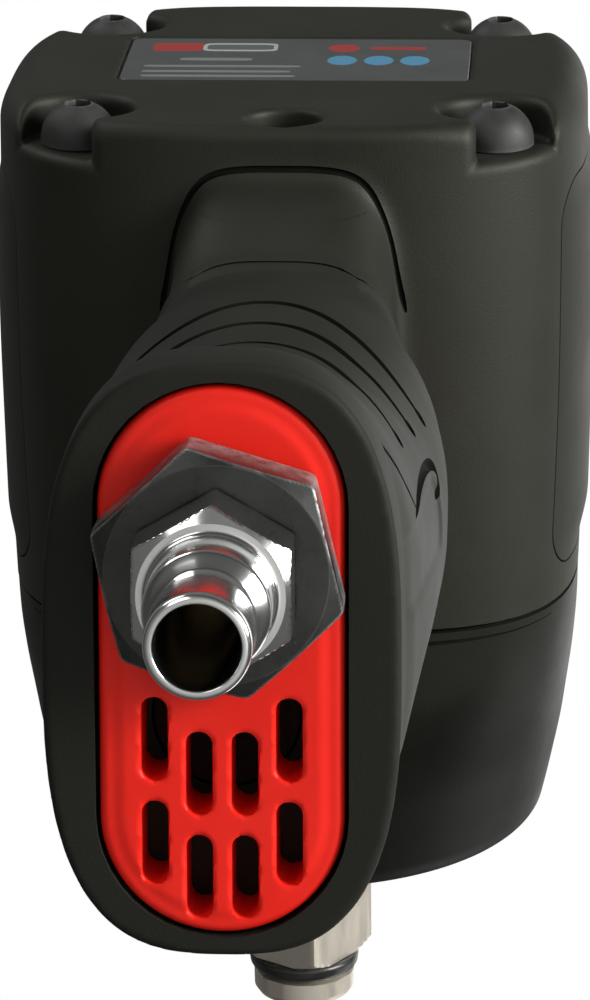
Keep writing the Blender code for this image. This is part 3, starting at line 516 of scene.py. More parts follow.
def moulded(name, colour, dust, roughness, grain, grain_depth, specular, painted_light=None):
    """Black moulding or coat: fine grain, slight dust and handling marks; the last argument is (start x, end x,
    colour): painted light, a lighter colour blended in from the start x to the end x and held beyond it.
    """
    look = Look(name).set(Specular_IOR_Level=specular, Specular_Tint=(1.0, 1.0, 0.86))
    marks = look.noise(14.0, 4.0, 0.6)
    tint = look.mixed(look.ramp(marks, 0.0, 1.0, 0.35, 0.75), colour, dust)
    # Painted light: the part is painted lighter towards the end x, a painted lit band.
    if painted_light:
        start, end, grey = painted_light
        split = look.node("ShaderNodeSeparateXYZ")
        look.link(look.where, split.inputs[0])
        uneven = look.ramp(look.noise(9.0), -2.5 * MM, 2.5 * MM)
        along = look.math("ADD", split.outputs["X"], uneven)
        share = look.ramp(along, 0.0, 1.0, start * MM, end * MM)
        share.node.interpolation_type = "SMOOTHSTEP"
        tint = look.mixed(share, tint, grey)
    look.use(Base_Color=tint, Roughness=look.ramp(marks, roughness - 0.06, roughness + 0.06))
    fine = look.bump(look.noise(grain, 2.0, 0.6), grain_depth)
    look.use(Normal=look.bump(look.noise(3.2, 2.0), 0.012, fine))
    return look.made


COMPOSITE = moulded("composite", (0.0085, 0.0089, 0.0062), (0.0120, 0.0125, 0.0092), 0.62, 0.28, 0.030, 0.40)
RUBBER = moulded("rubber", (0.0095, 0.0100, 0.0078), (0.0135, 0.0140, 0.0112), 0.62, 0.16, 0.008, 0.34)
# Painted light: the case coat is painted lighter from x -46 to -57 and on towards the housing joint, where light falls
# on it.
CASE_PAINTED_LIGHT = (-46.0, -57.0, (0.0105, 0.0108, 0.0085))
CASE_COAT = moulded(
    "case_coat", (0.0025, 0.0027, 0.0020), (0.0040, 0.0042, 0.0032), 0.50, 0.35, 0.020, 0.16, CASE_PAINTED_LIGHT
)
RIM_COAT = moulded("rim_composite", (0.0070, 0.0068, 0.0058), (0.0095, 0.0092, 0.0080), 0.70, 0.28, 0.020, 0.30)
# Painted shade: a near-black, dull coat on the walls of the cut grooves and joint lines, standing in for the shade
# inside them.
GROOVE_PAINTED_SHADE = moulded("groove_painted_shade", (0.0022, 0.0022, 0.0018), (0.0032, 0.0032, 0.0026), 0.85, 0.28, 0.0, 0.12)


def red_plastic():
    look = Look("red_plastic").set(Specular_IOR_Level=0.25)
    marks = look.noise(9.0, 4.0, 0.6)
    look.use(
        Base_Color=look.mixed(look.ramp(marks, 0.0, 1.0, 0.3, 0.75), (0.84, 0.015, 0.007), (0.88, 0.020, 0.010)),
        Roughness=look.ramp(marks, 0.34, 0.46),
        Normal=look.bump(look.noise(0.5, 2.0), 0.010),
    )
    return look.made


def metal(name, colour, dull, roughness, scratch, grain=6.0, stretch=(1.0, 1.0, 1.0), depth=0.002):
    """Bright or ground metal: uneven shine and fine marks."""
    look = Look(name).set(Metallic=1.0)
    marks = look.noise(grain, 5.0, 0.65, stretch)
    look.use(
        Base_Color=look.mixed(look.ramp(marks, 0.0, 1.0, 0.35, 0.75), colour, dull),
        Roughness=look.ramp(marks, max(roughness - scratch, 0.02), roughness + scratch),
        Normal=look.bump(look.noise(grain * 0.2, 3.0, 0.6, stretch), depth),
    )
    return look.made


RED = red_plastic()
CHROME = metal("chrome", (0.86, 0.87, 0.85), (0.74, 0.75, 0.73), 0.16, 0.04, 5.0, depth=0.0012)
NICKEL = metal("nickel", (0.86, 0.80, 0.69), (0.72, 0.66, 0.56), 0.46, 0.08, 2.5, (0.25, 1.0, 1.0), 0.002)
STEEL = metal("steel", (0.50, 0.50, 0.51), (0.36, 0.36, 0.37), 0.32, 0.08)
ALUMINIUM = metal("aluminium", (0.74, 0.75, 0.76), (0.60, 0.61, 0.62), 0.38, 0.08)
BRASS = metal("brass", (0.30, 0.21, 0.10), (0.20, 0.13, 0.06), 0.40, 0.08)


def black_oxide(name, wear, roughness, metallic, corners):
    """Blackened steel: clouded, rubbed bright in specks and along its corners."""
    look = Look(name).set(Metallic=metallic)
    rubbed = look.ramp(look.noise(0.7, 5.0, 0.75), 0.0, 1.0, wear, wear + 0.10)
    corner = look.node("ShaderNodeNewGeometry").outputs["Pointiness"]
    patchy = look.ramp(look.noise(1.6, 4.0, 0.7), 0.25, 1.0, 0.35, 0.6)
    rubbed = look.math("MAXIMUM", rubbed, look.math("MULTIPLY", look.ramp(corner, 0.0, corners, 0.515, 0.56), patchy))
    cloudy = look.noise(3.0, 4.0, 0.6)
    base = look.mixed(look.ramp(cloudy, 0.0, 1.0), (0.016, 0.017, 0.016), (0.032, 0.033, 0.030))
    look.use(
        Base_Color=look.mixed(rubbed, base, (0.30, 0.31, 0.30)),
        Roughness=look.ramp(cloudy, roughness - 0.08, roughness + 0.08),
        Normal=look.bump(look.noise(0.4, 4.0, 0.7), 0.012),
    )
    return look.made


BLACK_STEEL = black_oxide("black_steel", 0.70, 0.30, 0.25, 0.9)
SCREW_BLACK = black_oxide("screw_black", 0.82, 0.60, 0.0, 0.12)


def plain(name, colour, other, roughness, grain, depth):
    """Felt, resin laminate or fibre sheet."""
    look = Look(name)
    spots = look.noise(grain, 4.0, 0.7)
    look.use(
        Base_Color=look.mixed(look.ramp(spots, 0.0, 1.0), colour, other),
        Roughness=look.ramp(spots, roughness - 0.08, min(roughness + 0.08, 1.0)),
        Normal=look.bump(spots, depth),
    )
    return look.made


FELT = plain("felt", (0.020, 0.019, 0.018), (0.010, 0.010, 0.009), 0.9, 0.5, 0.12)
RESIN = plain("vane_resin", (0.30, 0.20, 0.10), (0.20, 0.12, 0.06), 0.55, 0.8, 0.02)
FIBRE = plain("gasket", (0.035, 0.030, 0.025), (0.055, 0.048, 0.040), 0.85, 0.4, 0.03)


def label_print():
    """Dark film with a few plain printed shapes."""
    look = Look("label_film").set(Specular_IOR_Level=0.4)
    split = look.node("ShaderNodeSeparateXYZ")
    look.link(look.where, split.inputs[0])
    across, up = split.outputs["Y"], split.outputs["Z"]

    def inside(y, z, half_y, half_z):
        """1 inside an ellipse or bar in millimetres, by a high-power distance."""
        a = look.math("DIVIDE", look.math("ABSOLUTE", look.math("SUBTRACT", across, y * MM), 0.0), half_y * MM)
        b = look.math("DIVIDE", look.math("ABSOLUTE", look.math("SUBTRACT", up, z * MM), 0.0), half_z * MM)
        power = 2.0 if half_y < half_z * 1.2 else 6.0
        total = look.math("ADD", look.math("POWER", a, power), look.math("POWER", b, power))
        return look.math("LESS_THAN", total, 1.0)

    colour = look.mixed(look.ramp(look.noise(6.0), 0.0, 1.0), (0.058, 0.064, 0.064), (0.070, 0.077, 0.077))
    grey, red, blue, white = (0.20, 0.21, 0.21), (0.36, 0.03, 0.025), (0.08, 0.28, 0.46), (0.42, 0.43, 0.43)
    shapes = [
        (15.1, 9.7, 3.1, 2.4, red),
        (7.4, 9.7, 4.6, 2.4, white),
        (7.4, 9.7, 4.1, 1.5, (0.10, 0.11, 0.11)),
        (-5.4, 9.4, 1.95, 2.2, red),
        (-12.1, 9.4, 3.4, 0.9, red),
        (-5.4, 2.2, 1.8, 2.7, blue),
        (-9.9, 2.2, 1.8, 2.7, blue),
        (-14.3, 2.2, 1.8, 2.7, blue),
        (10.0, 2.6, 4.4, 0.8, grey),
        (9.0, -1.4, 9.5, 0.6, grey),
        (9.6, -4.4, 9.0, 0.6, grey),
        (9.2, -7.0, 9.3, 0.6, grey),
    ]
    for y, z, half_y, half_z, tint in shapes:
        colour = look.mixed(inside(y, z, half_y, half_z), colour, tint)
    look.use(Base_Color=colour, Roughness=look.ramp(look.noise(8.0), 0.30, 0.42))
    look.use(Normal=look.bump(look.noise(1.2), 0.003))
    return look.made


LABEL = label_print()

SLOT_LOOKS = {
    "composite": COMPOSITE,
    "rubber": RUBBER,
    "case_paint": CASE_COAT,
    "red_plastic": RED,
    "chrome": CHROME,
    "black_steel": SCREW_BLACK,
    "nickel": NICKEL,
    "steel": STEEL,
    "aluminium": ALUMINIUM,
    "brass": BRASS,
    "vane_resin": RESIN,
    "felt": FELT,
    "label": LABEL,
    "gasket": FIBRE,
}
for part in frame["record"]["subparts"]:
    node = frame["nodes"][part["node"]]
    node.data.materials.clear()
    node.data.materials.append(SLOT_LOOKS[part["material_slot"]])

# --- Body and handle shapes -----------------------------------------------------------------------------------------

body_width = eased([(-126, 35.3), (-112, 35.5), (-92, 35.5), (-70, 35.1), (-61, 34.8), (-50, 34.3)], 3.0)
body_height = eased([(-121, 35.9), (-108, 36.0), (-85, 35.6), (-70, 34.8), (-61, 34.1)], 3.0)
BODY_POWER = 3.2


def body_side(p, inset=0.0):
    return squircle(p[1], p[2], body_width(p[0]) - inset, body_height(p[0]) - inset, BODY_POWER)


handle_rear = eased(
    [(-9, -28.6), (4, -29.6), (9, -29.4), (14, -27.4), (27, -23.9), (43, -21.1), (58, -19.8), (70, -20.0), (84, -20.8)]
    + [(96, -20.9), (101, -21.6), (107, -25.2), (111.5, -28.3), (130, -30)],
    1.6,
)
handle_front = eased(
    [(-9, 29.4), (9, 29.3), (14, 28.4), (27, 24.4), (43, 21.4), (58, 20.2), (70, 19.8), (84, 19.4), (97, 20.5)]
    + [(106, 22.5), (112, 24.8), (118, 27), (130, 28)],
    2.0,
)
handle_half = eased(
    [(-9, 17.3), (13, 17.3), (27, 18.7), (43, 19.9), (58, 20.4), (70, 20.2), (84, 19.0), (93, 16.6), (99, 14.3)]
    + [(106, 13.2), (112, 13.2), (130, 14)],
    1.8,
)
handle_power = eased([(-9, 2.9), (13, 2.8), (27, 2.5), (43, 2.3), (84, 2.25), (95, 2.8), (104, 4.2), (130, 4.4)], 2.5)


def handle_side(h, inset=0.0):
    """Distance to the handle's outside, in the handle's own coordinates."""
    rear, front = handle_rear(h[2]), handle_front(h[2])
    middle, half = (rear + front) / 2, (front - rear) / 2
    return squircle(h[0] - middle, h[1], half - inset, handle_half(h[2]) - inset, handle_power(h[2]))


def grip_top(h):
    """How far a point is above the sleeve's top edge, which drops to the trigger and rises at the neck's corners."""
    return h[2] - (97.6 + 1.1 * np.maximum(np.abs(h[1]) - 9.5, 0.0) - 0.445 * (h[0] + 21.0))


RIM_TOP = 12.4
GRIP_BOTTOM = 13.0


def chain_distance(h, path):
    """Distance from points, seen from the side, to a run of (x, z) points."""
    best = 1e3
    for (ax, az), (bx, bz) in zip(path, path[1:]):
        ux, uz = bx - ax, bz - az
        t = np.clip(((h[0] - ax) * ux + (h[2] - az) * uz) / (ux * ux + uz * uz), 0.0, 1.0)
        best = np.minimum(best, np.hypot(h[0] - ax - t * ux, h[2] - az - t * uz))
    return best


# Lines of the grip, in the handle's frame: x and z of the outlines; height at the back, end x and end z of a groove
TONGUE = [(-8.8, 25.0), (-10.1, 32.0), (-10.2, 39.0), (-9.7, 44.5), (-8.6, 50.0), (-7.2, 52.3), (-5.9, 51.6)]
TONGUE += [(-5.2, 48.0)]
LOWER_SEAM = [(-26.0, 13.2), (-20.0, 15.5), (-14.0, 21.0), (-8.8, 27.0)]
GRIP_GROOVES = [(76.5, -12.6, 58.8), (67.2, -14.6, 47.5), (57.5, -17.0, 33.0)]
# The crease round the neck below the rear cover: x and y in the model's axes, from the left side to the middle
NECK_LINE = [(-102.5, 14.6), (-106.0, 13.7), (-110.5, 12.6), (-115.5, 11.1), (-117.3, 10.3), (-118.8, 8.9)]
NECK_LINE += [(-119.6, 6.8), (-119.9, 3.5), (-119.9, 0.0)]
NECK_LINE_Z = -36.0


def drawn(points):
    """A run of points with its corners cut off again and again, which makes a smooth curve of it."""
    run = np.array(points, dtype=float)
    for _ in range(3):
        early, late = 0.75 * run[:-1] + 0.25 * run[1:], 0.25 * run[:-1] + 0.75 * run[1:]
        run = np.concatenate([run[:1], np.stack([early, late], 1).reshape(-1, 3), run[-1:]])
    return run


def in_model(points):
    """Points in the handle's frame, in the model's."""
    where = handle_frame()
    return [(where @ (Vector(p) * MM)) / MM for p in points]


def grip_groove(height, end_x, end_z):
    """Points of a groove round the back of the sleeve, in the handle's frame, to be laid onto the surface."""
    turn = [radians(a) for a in range(-90, 91, 3)]
    return in_model((end_x - 13.0 * cos(a), 19.0 * sin(a), height - (height - end_z) * sin(a) ** 2) for a in turn)


def sleeve_top_line():
    """Points along the back of the sleeve's top edge."""
    points = []
    for y in np.arange(-13.5, 13.6, 0.75):
        back = -21.2 * (1.0 - abs(y / 14.8) ** 3.3) ** (1 / 3.3)
        points.append((back, y, 97.8 + 1.1 * max(abs(y) - 9.5, 0.0) - 0.445 * (back + 21.0)))
    return in_model(points)


def neck_skin(p):
    return handle_side(to_handle(p), 0.4)


def grip_field(p):
    h = to_handle(p)
    ridge = h[2] - (86.5 - 0.018 * h[1] ** 2)
    back_half = smoothstep(-h[0], -2.0, 6.0)
    sink = groove(ridge, 0.35, 0.25) * back_half
    sink = sink + 0.55 * smoothstep(ridge, -0.6, 2.2) * (1 - smoothstep(grip_top(h), -2.4, -0.9)) * back_half
    reach = chain_distance(h, [(-4.2, 14.0), (-4.0, 46.0)])
    tongue = 1 - smoothstep(reach, 3.0, 4.6)
    sink = sink + 0.35 * tongue + 0.7 * (1 - smoothstep(h[2], 13.0, 21.0))
    outer = handle_side(h) + sink
    shell = np.maximum(outer, -handle_side(h, 3.1))
    ends = np.maximum(GRIP_BOTTOM - 1.5 - h[2], grip_top(h))
    solid = rounded_max(shell, ends, 0.7)
    trigger = box(h[1], h[2] - 105.5, 7.1, 21.2, 2.0)
    return without(solid, np.maximum(trigger, 8.0 - h[0]), 0.4)


def face_distance(p):
    """How far a point is behind the leaning rear face."""
    return REAR_X - FACE_SLOPE * (FACE_TOP - p[2]) - p[0]


def shell_field(p):
    """Rear cover, housing and neck as one outline, before they are parted."""
    h = to_handle(p)
    ends = face_distance(p)
    corner = 1.6 + 2.6 * smoothstep(np.abs(p[1]), 14.0, 32.0)
    ua, ub = np.maximum(body_side(p) + corner, 0.0), np.maximum(ends + corner, 0.0)
    main = np.minimum(np.maximum(body_side(p), ends), -corner) + np.hypot(ua, ub)
    neck = rounded_max(handle_side(h, 0.25), 0.8 - grip_top(h), 0.5)
    neck = np.maximum(neck, h[2] - 122.0)
    return blended_min(main, neck, 4.0)


def housing_field(p):
    h = to_handle(p)
    joined = np.maximum(shell_field(p), np.maximum(p[0] - CASE_JOINT_X - 1.0, COVER_JOINT_X - 1.0 - p[0]))
    lower = np.maximum(handle_side(h, 2.95), np.maximum(h[2] - 112.0, 9.0 - h[2]))
    return np.minimum(joined, np.maximum(lower, -body_side(p, 2.0) - 6.0))


def rim_field(p):
    h = to_handle(p)
    return np.maximum(rounded_max(handle_side(h), -h[2], 0.7), h[2] - RIM_TOP - 1.5)


def cover_field(p):
    body = np.maximum(shell_field(p), p[0] - COVER_JOINT_X - 1.0)
    for y in (-SCREW_Y, SCREW_Y):
        for z in (-SCREW_Z, SCREW_Z):
            side, up = np.sign(y) * p[1], np.sign(z) * p[2]
            pocket = np.hypot(side - SCREW_Y, up - SCREW_Z) - 6.5
            channel = np.maximum(np.abs(side - (26.4 if z < 0 else 24.8)) - 4.1, SCREW_Z - up)
            hollow = np.maximum(np.minimum(pocket, channel), p[0] - HEAD_SEATS[z > 0])
            body = without(body, hollow, 1.3)
    bed = box(p[1], p[2] - LABEL_Z, LABEL_HALF_WIDTH + 0.4, LABEL_HALF + 0.4, 1.6)
    body = without(body, np.maximum(bed, -0.45 - face_distance(p)), 0.15)
    dial = np.maximum(np.hypot(p[1], p[2] - DIAL_Z) - 4.4, p[0] - (COVER_JOINT_X - 2.0))
    return without(body, dial, 0.7)


case_width = eased([(-62, 34.8), (-56, 34.7), (-50, 34.2), (-40, 32.9), (-32, 31.3), (-24, 29.4)], 1.5)
case_power = eased([(-62, 3.2), (-56, 2.9), (-46, 2.4), (-36, 2.1), (-30, 2.0)], 2.0)


def case_field(p):
    half = case_width(p[0])
    side = squircle(p[1], p[2], half, half - 0.9 * smoothstep(-p[0], 38.0, 60.0), case_power(p[0]))
    r = np.hypot(p[1], p[2])
    shell = rounded_max(side, p[0] + 26.0, 3.0)
    boss = rounded_max(r - 13.9 + 0.10 * (p[0] + 26.0), p[0] + 21.0, 0.8)
    boss = np.maximum(boss, -30.0 - p[0])
    solid = blended_min(shell, boss, 4.0)
    solid = np.maximum(solid, CASE_JOINT_X - 1.0 - p[0])
    cavity = rounded_max(r - 29.3, p[0] + 31.0, 3.0)
    return np.maximum(np.maximum(solid, -cavity), 12.0 - r)


PAD_X, PAD_HALF_X, PAD_HALF_Z = -90.25, 24.25, 23.5


def pad_field(side):
    def field(p):
        swell = 1.0 - (p[2] / PAD_HALF_Z) ** 2
        ends = smoothstep(PAD_HALF_X - np.abs(p[0] - PAD_X), 0.0, 5.0)
        outer = body_side(p) - 0.85 * np.maximum(swell, 0.0) * ends
        inner = body_side(p, 1.6)
        edge = np.maximum(np.abs(p[0] - PAD_X) - PAD_HALF_X - 1.0, np.abs(p[2]) - PAD_HALF_Z - 1.0)
        return np.maximum(np.maximum(np.maximum(outer, -inner), -side * p[1]), edge)

    return field


def insert_field(p):
    h = to_handle(p)
    side = stadium(h[0], h[1], 27.1, 11.85)
    solid = rounded_max(side, -h[2] + 0.22 * smoothstep(side, -2.6, -1.2), 0.9)
    solid = np.maximum(solid, h[2] - 8.0)
    for column, first in ((-6.5, 7.6), (-2.2, 11.0), (2.2, 11.0), (6.5, 7.6)):
        for row in range(2):
            slot = stadium(h[0] - first - row * 10.35, h[1] - column, 4.2, 1.3)
            solid = without(solid, slot, 0.2)
    return without(solid, np.hypot(h[0] - INLET_X, h[1]) - 9.5, 0.2)


def trigger_field(p):
    h = to_handle(p)
    sides = ((h[0] - 24.0, 9.4), (h[1], 6.2), (h[2] - 96.0, 10.9))
    q = np.stack([np.abs(distance) - half + 2.0 for distance, half in sides])
    body = np.sqrt((np.maximum(q, 0) ** 2).sum(0)) + np.minimum(q.max(0), 0) - 2.0
    body = without(body, np.hypot(h[0] - 53.0, h[2] - 96.0) - 24.0 - 0.03 * h[1] ** 2, 1.2)
    rod = np.maximum(np.hypot(h[1], h[2] - 90.0) - 2.3, h[0] - 20.0)
    return np.maximum(body, -rod)


# --- Body pieces ----------------------------------------------------------------------------------------------------

fine = 0.48


def rod_cutter(name, radius, low, high, where, segments=48):
    return spun(name, [(0, low), (radius, low), (radius, high), (0, high)], where, segments)


def screw_bores():
    return [
        rod_cutter("bore", 2.7, -130, -52.5, spindle_frame(0, y, z), 24)
        for y in (SCREW_Y, -SCREW_Y)
        for z in (SCREW_Z, -SCREW_Z)
    ]


def block_cutter(name, low, high, where=None):
    bm = bmesh.new()
    bmesh.ops.create_cube(bm, size=1.0)
    for v in bm.verts:
        v.co = [(low[i] + (high[i] - low[i]) * (v.co[i] + 0.5)) * MM for i in range(3)]
    return from_bmesh(name, bm, where)


def behind(x):
    return block_cutter("behind", (x - 90, -60, -60), (x, 60, 60))


def before(x):
    return block_cutter("before", (x, -60, -60), (x + 90, 60, 60))


def rounded_rectangle(half_a, half_b, radius, arc=8):
    points = []
    for sa, sb, start in ((1, 1, 0), (-1, 1, pi / 2), (-1, -1, pi), (1, -1, 3 * pi / 2)):
        for i in range(arc + 1):
            angle = start + pi / 2 * i / arc
            points.append((sa * (half_a - radius) + radius * cos(angle), sb * (half_b - radius) + radius * sin(angle)))
    return points


def pad_prism(side, margin):
    """The outline of a side pad, drawn through the flank."""
    outline = rounded_rectangle(PAD_HALF_X + margin, PAD_HALF_Z + margin, 5.5 + margin)
    where = Matrix.Translation((PAD_X * MM, 0, 0)) @ Matrix.Rotation(-side * pi / 2, 4, "X")
    return lofted("pad_prism", [(20, outline), (45, outline)], where)


def body_prism(inset):
    """The housing's outline, set in, from rear to front."""
    sections = []
    for x in (-118, -112, -100, -92, -80, -70, -60):
        half_y, half_z = float(body_width(x)) - inset, float(body_height(x)) - inset
        points = []
        for i in range(96):
            c, s = cos(tau * i / 96), sin(tau * i / 96)
            r = ((abs(c) / half_z) ** BODY_POWER + (abs(s) / half_y) ** BODY_POWER) ** (-1 / BODY_POWER)
            points.append((r * c, r * s))
        sections.append((x, points))
    return lofted("body_prism", sections, spindle_frame())


def pad_pocket(side):
    return combined(pad_prism(side, 0.25), [body_prism(1.9)], "DIFFERENCE")


housing = grown("housing_shell", housing_field, (-134, -38, -159), (-60, 38, 38), fine)
rim = grown("rim", rim_field, (-134, -19, -158), (-71, 19, -130), fine * 0.9)
combined(rim, [block_cutter("above_rim", (-60, -60, RIM_TOP), (60, 60, RIM_TOP + 20), handle_frame())], "DIFFERENCE")
combined(marked(housing, 0), [marked(rim, 2)], "UNION")
along_y = handle_frame(2.5, 0, 107.0) @ Matrix.Rotation(-pi / 2, 4, "X")
ahead = Matrix.Rotation(pi / 2, 4, "Y")
combined(
    housing,
    [
        block_cutter("rear_plane", (-160, -60, -47), (COVER_JOINT_X, 60, 60)),
        before(CASE_JOINT_X - SEAM),
        rod_cutter("motor_bore", 25.5, -118, -58, spindle_frame(), 96),
        lofted("recess", [(-3, obround(27.5, 12.25)), (8.3, obround(27.5, 12.25))], handle_frame()),
        rod_cutter("duct", 7.4, 5, 78, handle_frame(7.3)),
        rod_cutter("bushing_bore", 9.3, -2, 18.6, handle_frame(INLET_X)),
        rod_cutter("inlet_bore", 5.0, 17, 68, handle_frame(INLET_X)),
        rod_cutter("valve_chamber", 4.7, 50, 109, handle_frame(INLET_X)),
        rod_cutter("rod_bore", 2.5, -10.2, 40, handle_frame(z=90.0) @ ahead),
        block_cutter("trigger_well", (8.0, -6.6, 84.7), (60, 6.6, 107.3), handle_frame()),
        rod_cutter("reverse_bore", 4.8, -40, 40, along_y),
        pad_pocket(1),
        pad_pocket(-1),
        *screw_bores(),
    ],
    "DIFFERENCE",
)
neck_line = [(x, y, NECK_LINE_Z) for x, y in NECK_LINE] + [(x, -y, NECK_LINE_Z) for x, y in reversed(NECK_LINE[:-1])]
neck_line = drawn(neck_line)
scored(housing, shell_field, [neck_line], 0.42)

grip = grown("grip_sleeve", grip_field, (-131, -22, -142), (-60, 22, -40), fine * 0.85)
below_sleeve = block_cutter("below_sleeve", (-60, -60, -20), (60, 60, GRIP_BOTTOM), handle_frame())
combined(grip, [below_sleeve], "DIFFERENCE")
scored(grip, grip_field, [grip_groove(*line) for line in GRIP_GROOVES], 0.7, 1.3)
for piece in (grip, housing):
    scored(piece, neck_skin, [sleeve_top_line()], 0.7)
for side in (1, -1):
    scored(grip, grip_field, [drawn(in_model((x, side * 19.0, z) for x, z in TONGUE))], 0.7)
    scored(grip, grip_field, [drawn(in_model((x, side * 17.5, z) for x, z in LOWER_SEAM))], 0.3)
finished(crisp(grip, 50), RUBBER, "housing", "rubber", "handle_grip")

cover = grown("rear_cap", cover_field, (-126.5, -37, -48), (-114.5, 37, 37), fine * 0.85)
combined(cover, [before(COVER_JOINT_X), *screw_bores()], "DIFFERENCE")
sheet = combined(body_prism(2.5), [before(COVER_JOINT_X - 0.2), behind(COVER_JOINT_X - 0.7)], "DIFFERENCE")
combined(sheet, [rod_cutter("opening", 26.0, -130, -50, spindle_frame()), *screw_bores()], "DIFFERENCE")
sheet.name = "joint_sheet"
groove_for_sheet = combined(body_prism(2.4), [behind(COVER_JOINT_X - 0.75)], "DIFFERENCE")
combined(cover, [groove_for_sheet], "DIFFERENCE")
scored(cover, shell_field, [neck_line], 0.42)
finished(crisp(cover, 50), COMPOSITE, "housing", "composite", "rear_cover")
finished(crisp(sheet, 50), FIBRE, "housing", "gasket", "rear_gasket")

case = grown("clutch_case", case_field, (-63, -37, -37), (-20, 37, 37), fine)
combined(case, [behind(CASE_JOINT_X), *screw_bores()], "DIFFERENCE")
OUTSIDE = 39.0  # a radius just clear of the case, from which lines are drawn inward onto it
below = [radians(a) for a in range(215, 326, 5)]
second_line = [(-59.9 - 0.6 * cos(a) ** 2, OUTSIDE * cos(a), OUTSIDE * sin(a)) for a in below]
scored(case, case_field, [second_line], 0.36)
all_round = [radians(a) for a in range(0, 359, 6)]
joint_line = [(CASE_JOINT_X - 0.15, OUTSIDE * cos(a), OUTSIDE * sin(a)) for a in all_round]
for piece, field in ((case, case_field), (housing, shell_field)):
    scored(piece, field, [joint_line], 0.4)
finished(crisp(case, 50), CASE_COAT, "housing", "case_paint", "hammer_case")

finished(crisp(housing, 50), COMPOSITE, "housing", "composite", "motor_housing")

for side, name in ((1, "left"), (-1, "right")):
    pad = grown(f"bumper_{name}", pad_field(side), (-116, min(0, side * 38), -25), (-64, max(0, side * 38), 25), fine)
    combined(pad, [pad_prism(side, 0.0)], "INTERSECT")
    finished(crisp(pad, 50), RUBBER, "housing", "rubber", f"side_pad_{name}")

insert = grown("exhaust_insert", insert_field, (-132, -13, -156), (-74, 13, -137), fine * 0.7)
finished(crisp(insert, 50), RED, "housing", "red_plastic", "exhaust_cover")

lever = grown("finger_trigger", trigger_field, (-84, -7, -70), (-58, 7, -40), fine * 0.8)
finished(crisp(lever, 50), RED, "trigger_body", "red_plastic", "trigger")

# --- Turned and hexagonal fittings ----------------------------------------------------------------------------------


def polygon(across_flats, sides, turn, power):
    """Radius of a polygon with softened corners at an angle."""

    def radius(angle):
        near = [abs(cos(angle - turn - tau * i / sides)) for i in range(sides)]
        return across_flats / 2 / sum(c**power for c in near if c > 0.3) ** (1 / power)

    return radius


def lesser(*limits):
    """Radius function: the least of some radii or radius functions."""

    def radius(angle):
        return min(limit(angle) if callable(limit) else limit for limit in limits)

    return radius


def hex_head(across_flats, turn, face, foot, chamfer_radius, slope, power):
    """Rings of a chamfered hexagon from its face (the lower z) to its foot."""
    shape = polygon(across_flats, 6, turn, power)
    rings = []
    corner = across_flats / sqrt(3) + 0.2
    steps = 12
    for i in range(steps + 1):
        r = chamfer_radius + (corner - chamfer_radius) * i / steps
        rings.append((lesser(shape, r), face + (r - chamfer_radius) * slope))
    rings.append((shape, foot))
    return rings


plug_rings = [(6.4, 4.5), (6.4, -6.7), (7.3, -6.72)]
head = hex_head(15.0, pi / 6, -14.5, -6.9, 7.0, 0.7, 110)
plug_rings += list(reversed(head))
nose = rounded_profile(
    [(7.2, -14.5), (6.35, -14.55), (6.0, -15.0), (6.0, -17.0), (6.0, -20.6), (5.5, -21.1), (4.5, -22.0), (4.35, -22.6)]
    + [(4.35, -24.4), (4.5, -24.9), (5.0, -25.7), (5.0, -31.9), (4.9, -32.7), (4.45, -33.0), (4.1, -33.0), (3.9, -32.6)]
    + [(3.9, -30.0), (3.9, 4.5)],
    0.35,
)
plug_rings += nose[1:]
plug = spun("hose_plug", plug_rings, handle_frame(INLET_X))
finished(crisp(plug, 28), CHROME, "housing", "chrome", "inlet_nipple")

bush_rings = [(9.0, 18.0), (9.0, -0.28), (10.6, -0.3)]
bush_rings += list(reversed(hex_head(22.0, radians(196.875), -6.33, -0.5, 10.78, 0.55, 70)))
bush_rings += [(10.7, -6.38), (10.55, -6.4), (10.2, -6.4), (9.0, -6.4), (7.6, -6.4), (7.2, -6.38), (6.9, -6.2)]
bush_rings += [(6.7, -6.0), (6.7, 6.0), (5.4, 6.0), (5.4, 18.0)]
bush = spun("inlet_bush", bush_rings, handle_frame(INLET_X))
finished(crisp(bush, 28), BLACK_STEEL, "housing", "black_steel", "inlet_bushing")

for number, (y, z) in enumerate([(y, z) for z in (-SCREW_Z, SCREW_Z) for y in (SCREW_Y, -SCREW_Y)], 1):
    socket = polygon(3.0, 6, 0.3, 60)
    shoulder = -118.5 if z > 0 else -120.3
    seat = HEAD_SEATS[z > 0] - 0.02
    rings = [(0, -53.0), (2.4, -53.0), (2.4, seat), (4.35, seat), (4.5, seat - 0.15), (4.5, shoulder)]
    rings += [(4.5 * cos(radians(a)), shoulder - 4.4 * sin(radians(a))) for a in range(6, 67, 6)]
    top = shoulder - 4.4 * sin(radians(66))
    rings += [(1.65, top - 0.12), (socket, top - 0.02), (socket, top + 1.6), (0, top + 2.0)]
    screw = spun(f"cap_screw_{number}", rings, spindle_frame(0, y, z), 96)
    finished(crisp(screw, 35), SCREW_BLACK, "housing", "black_steel", f"cover_screw_{number}")

square = polygon(12.7, 4, radians(33.75), 90)


def drive(limit):
    return lesser(square, limit)


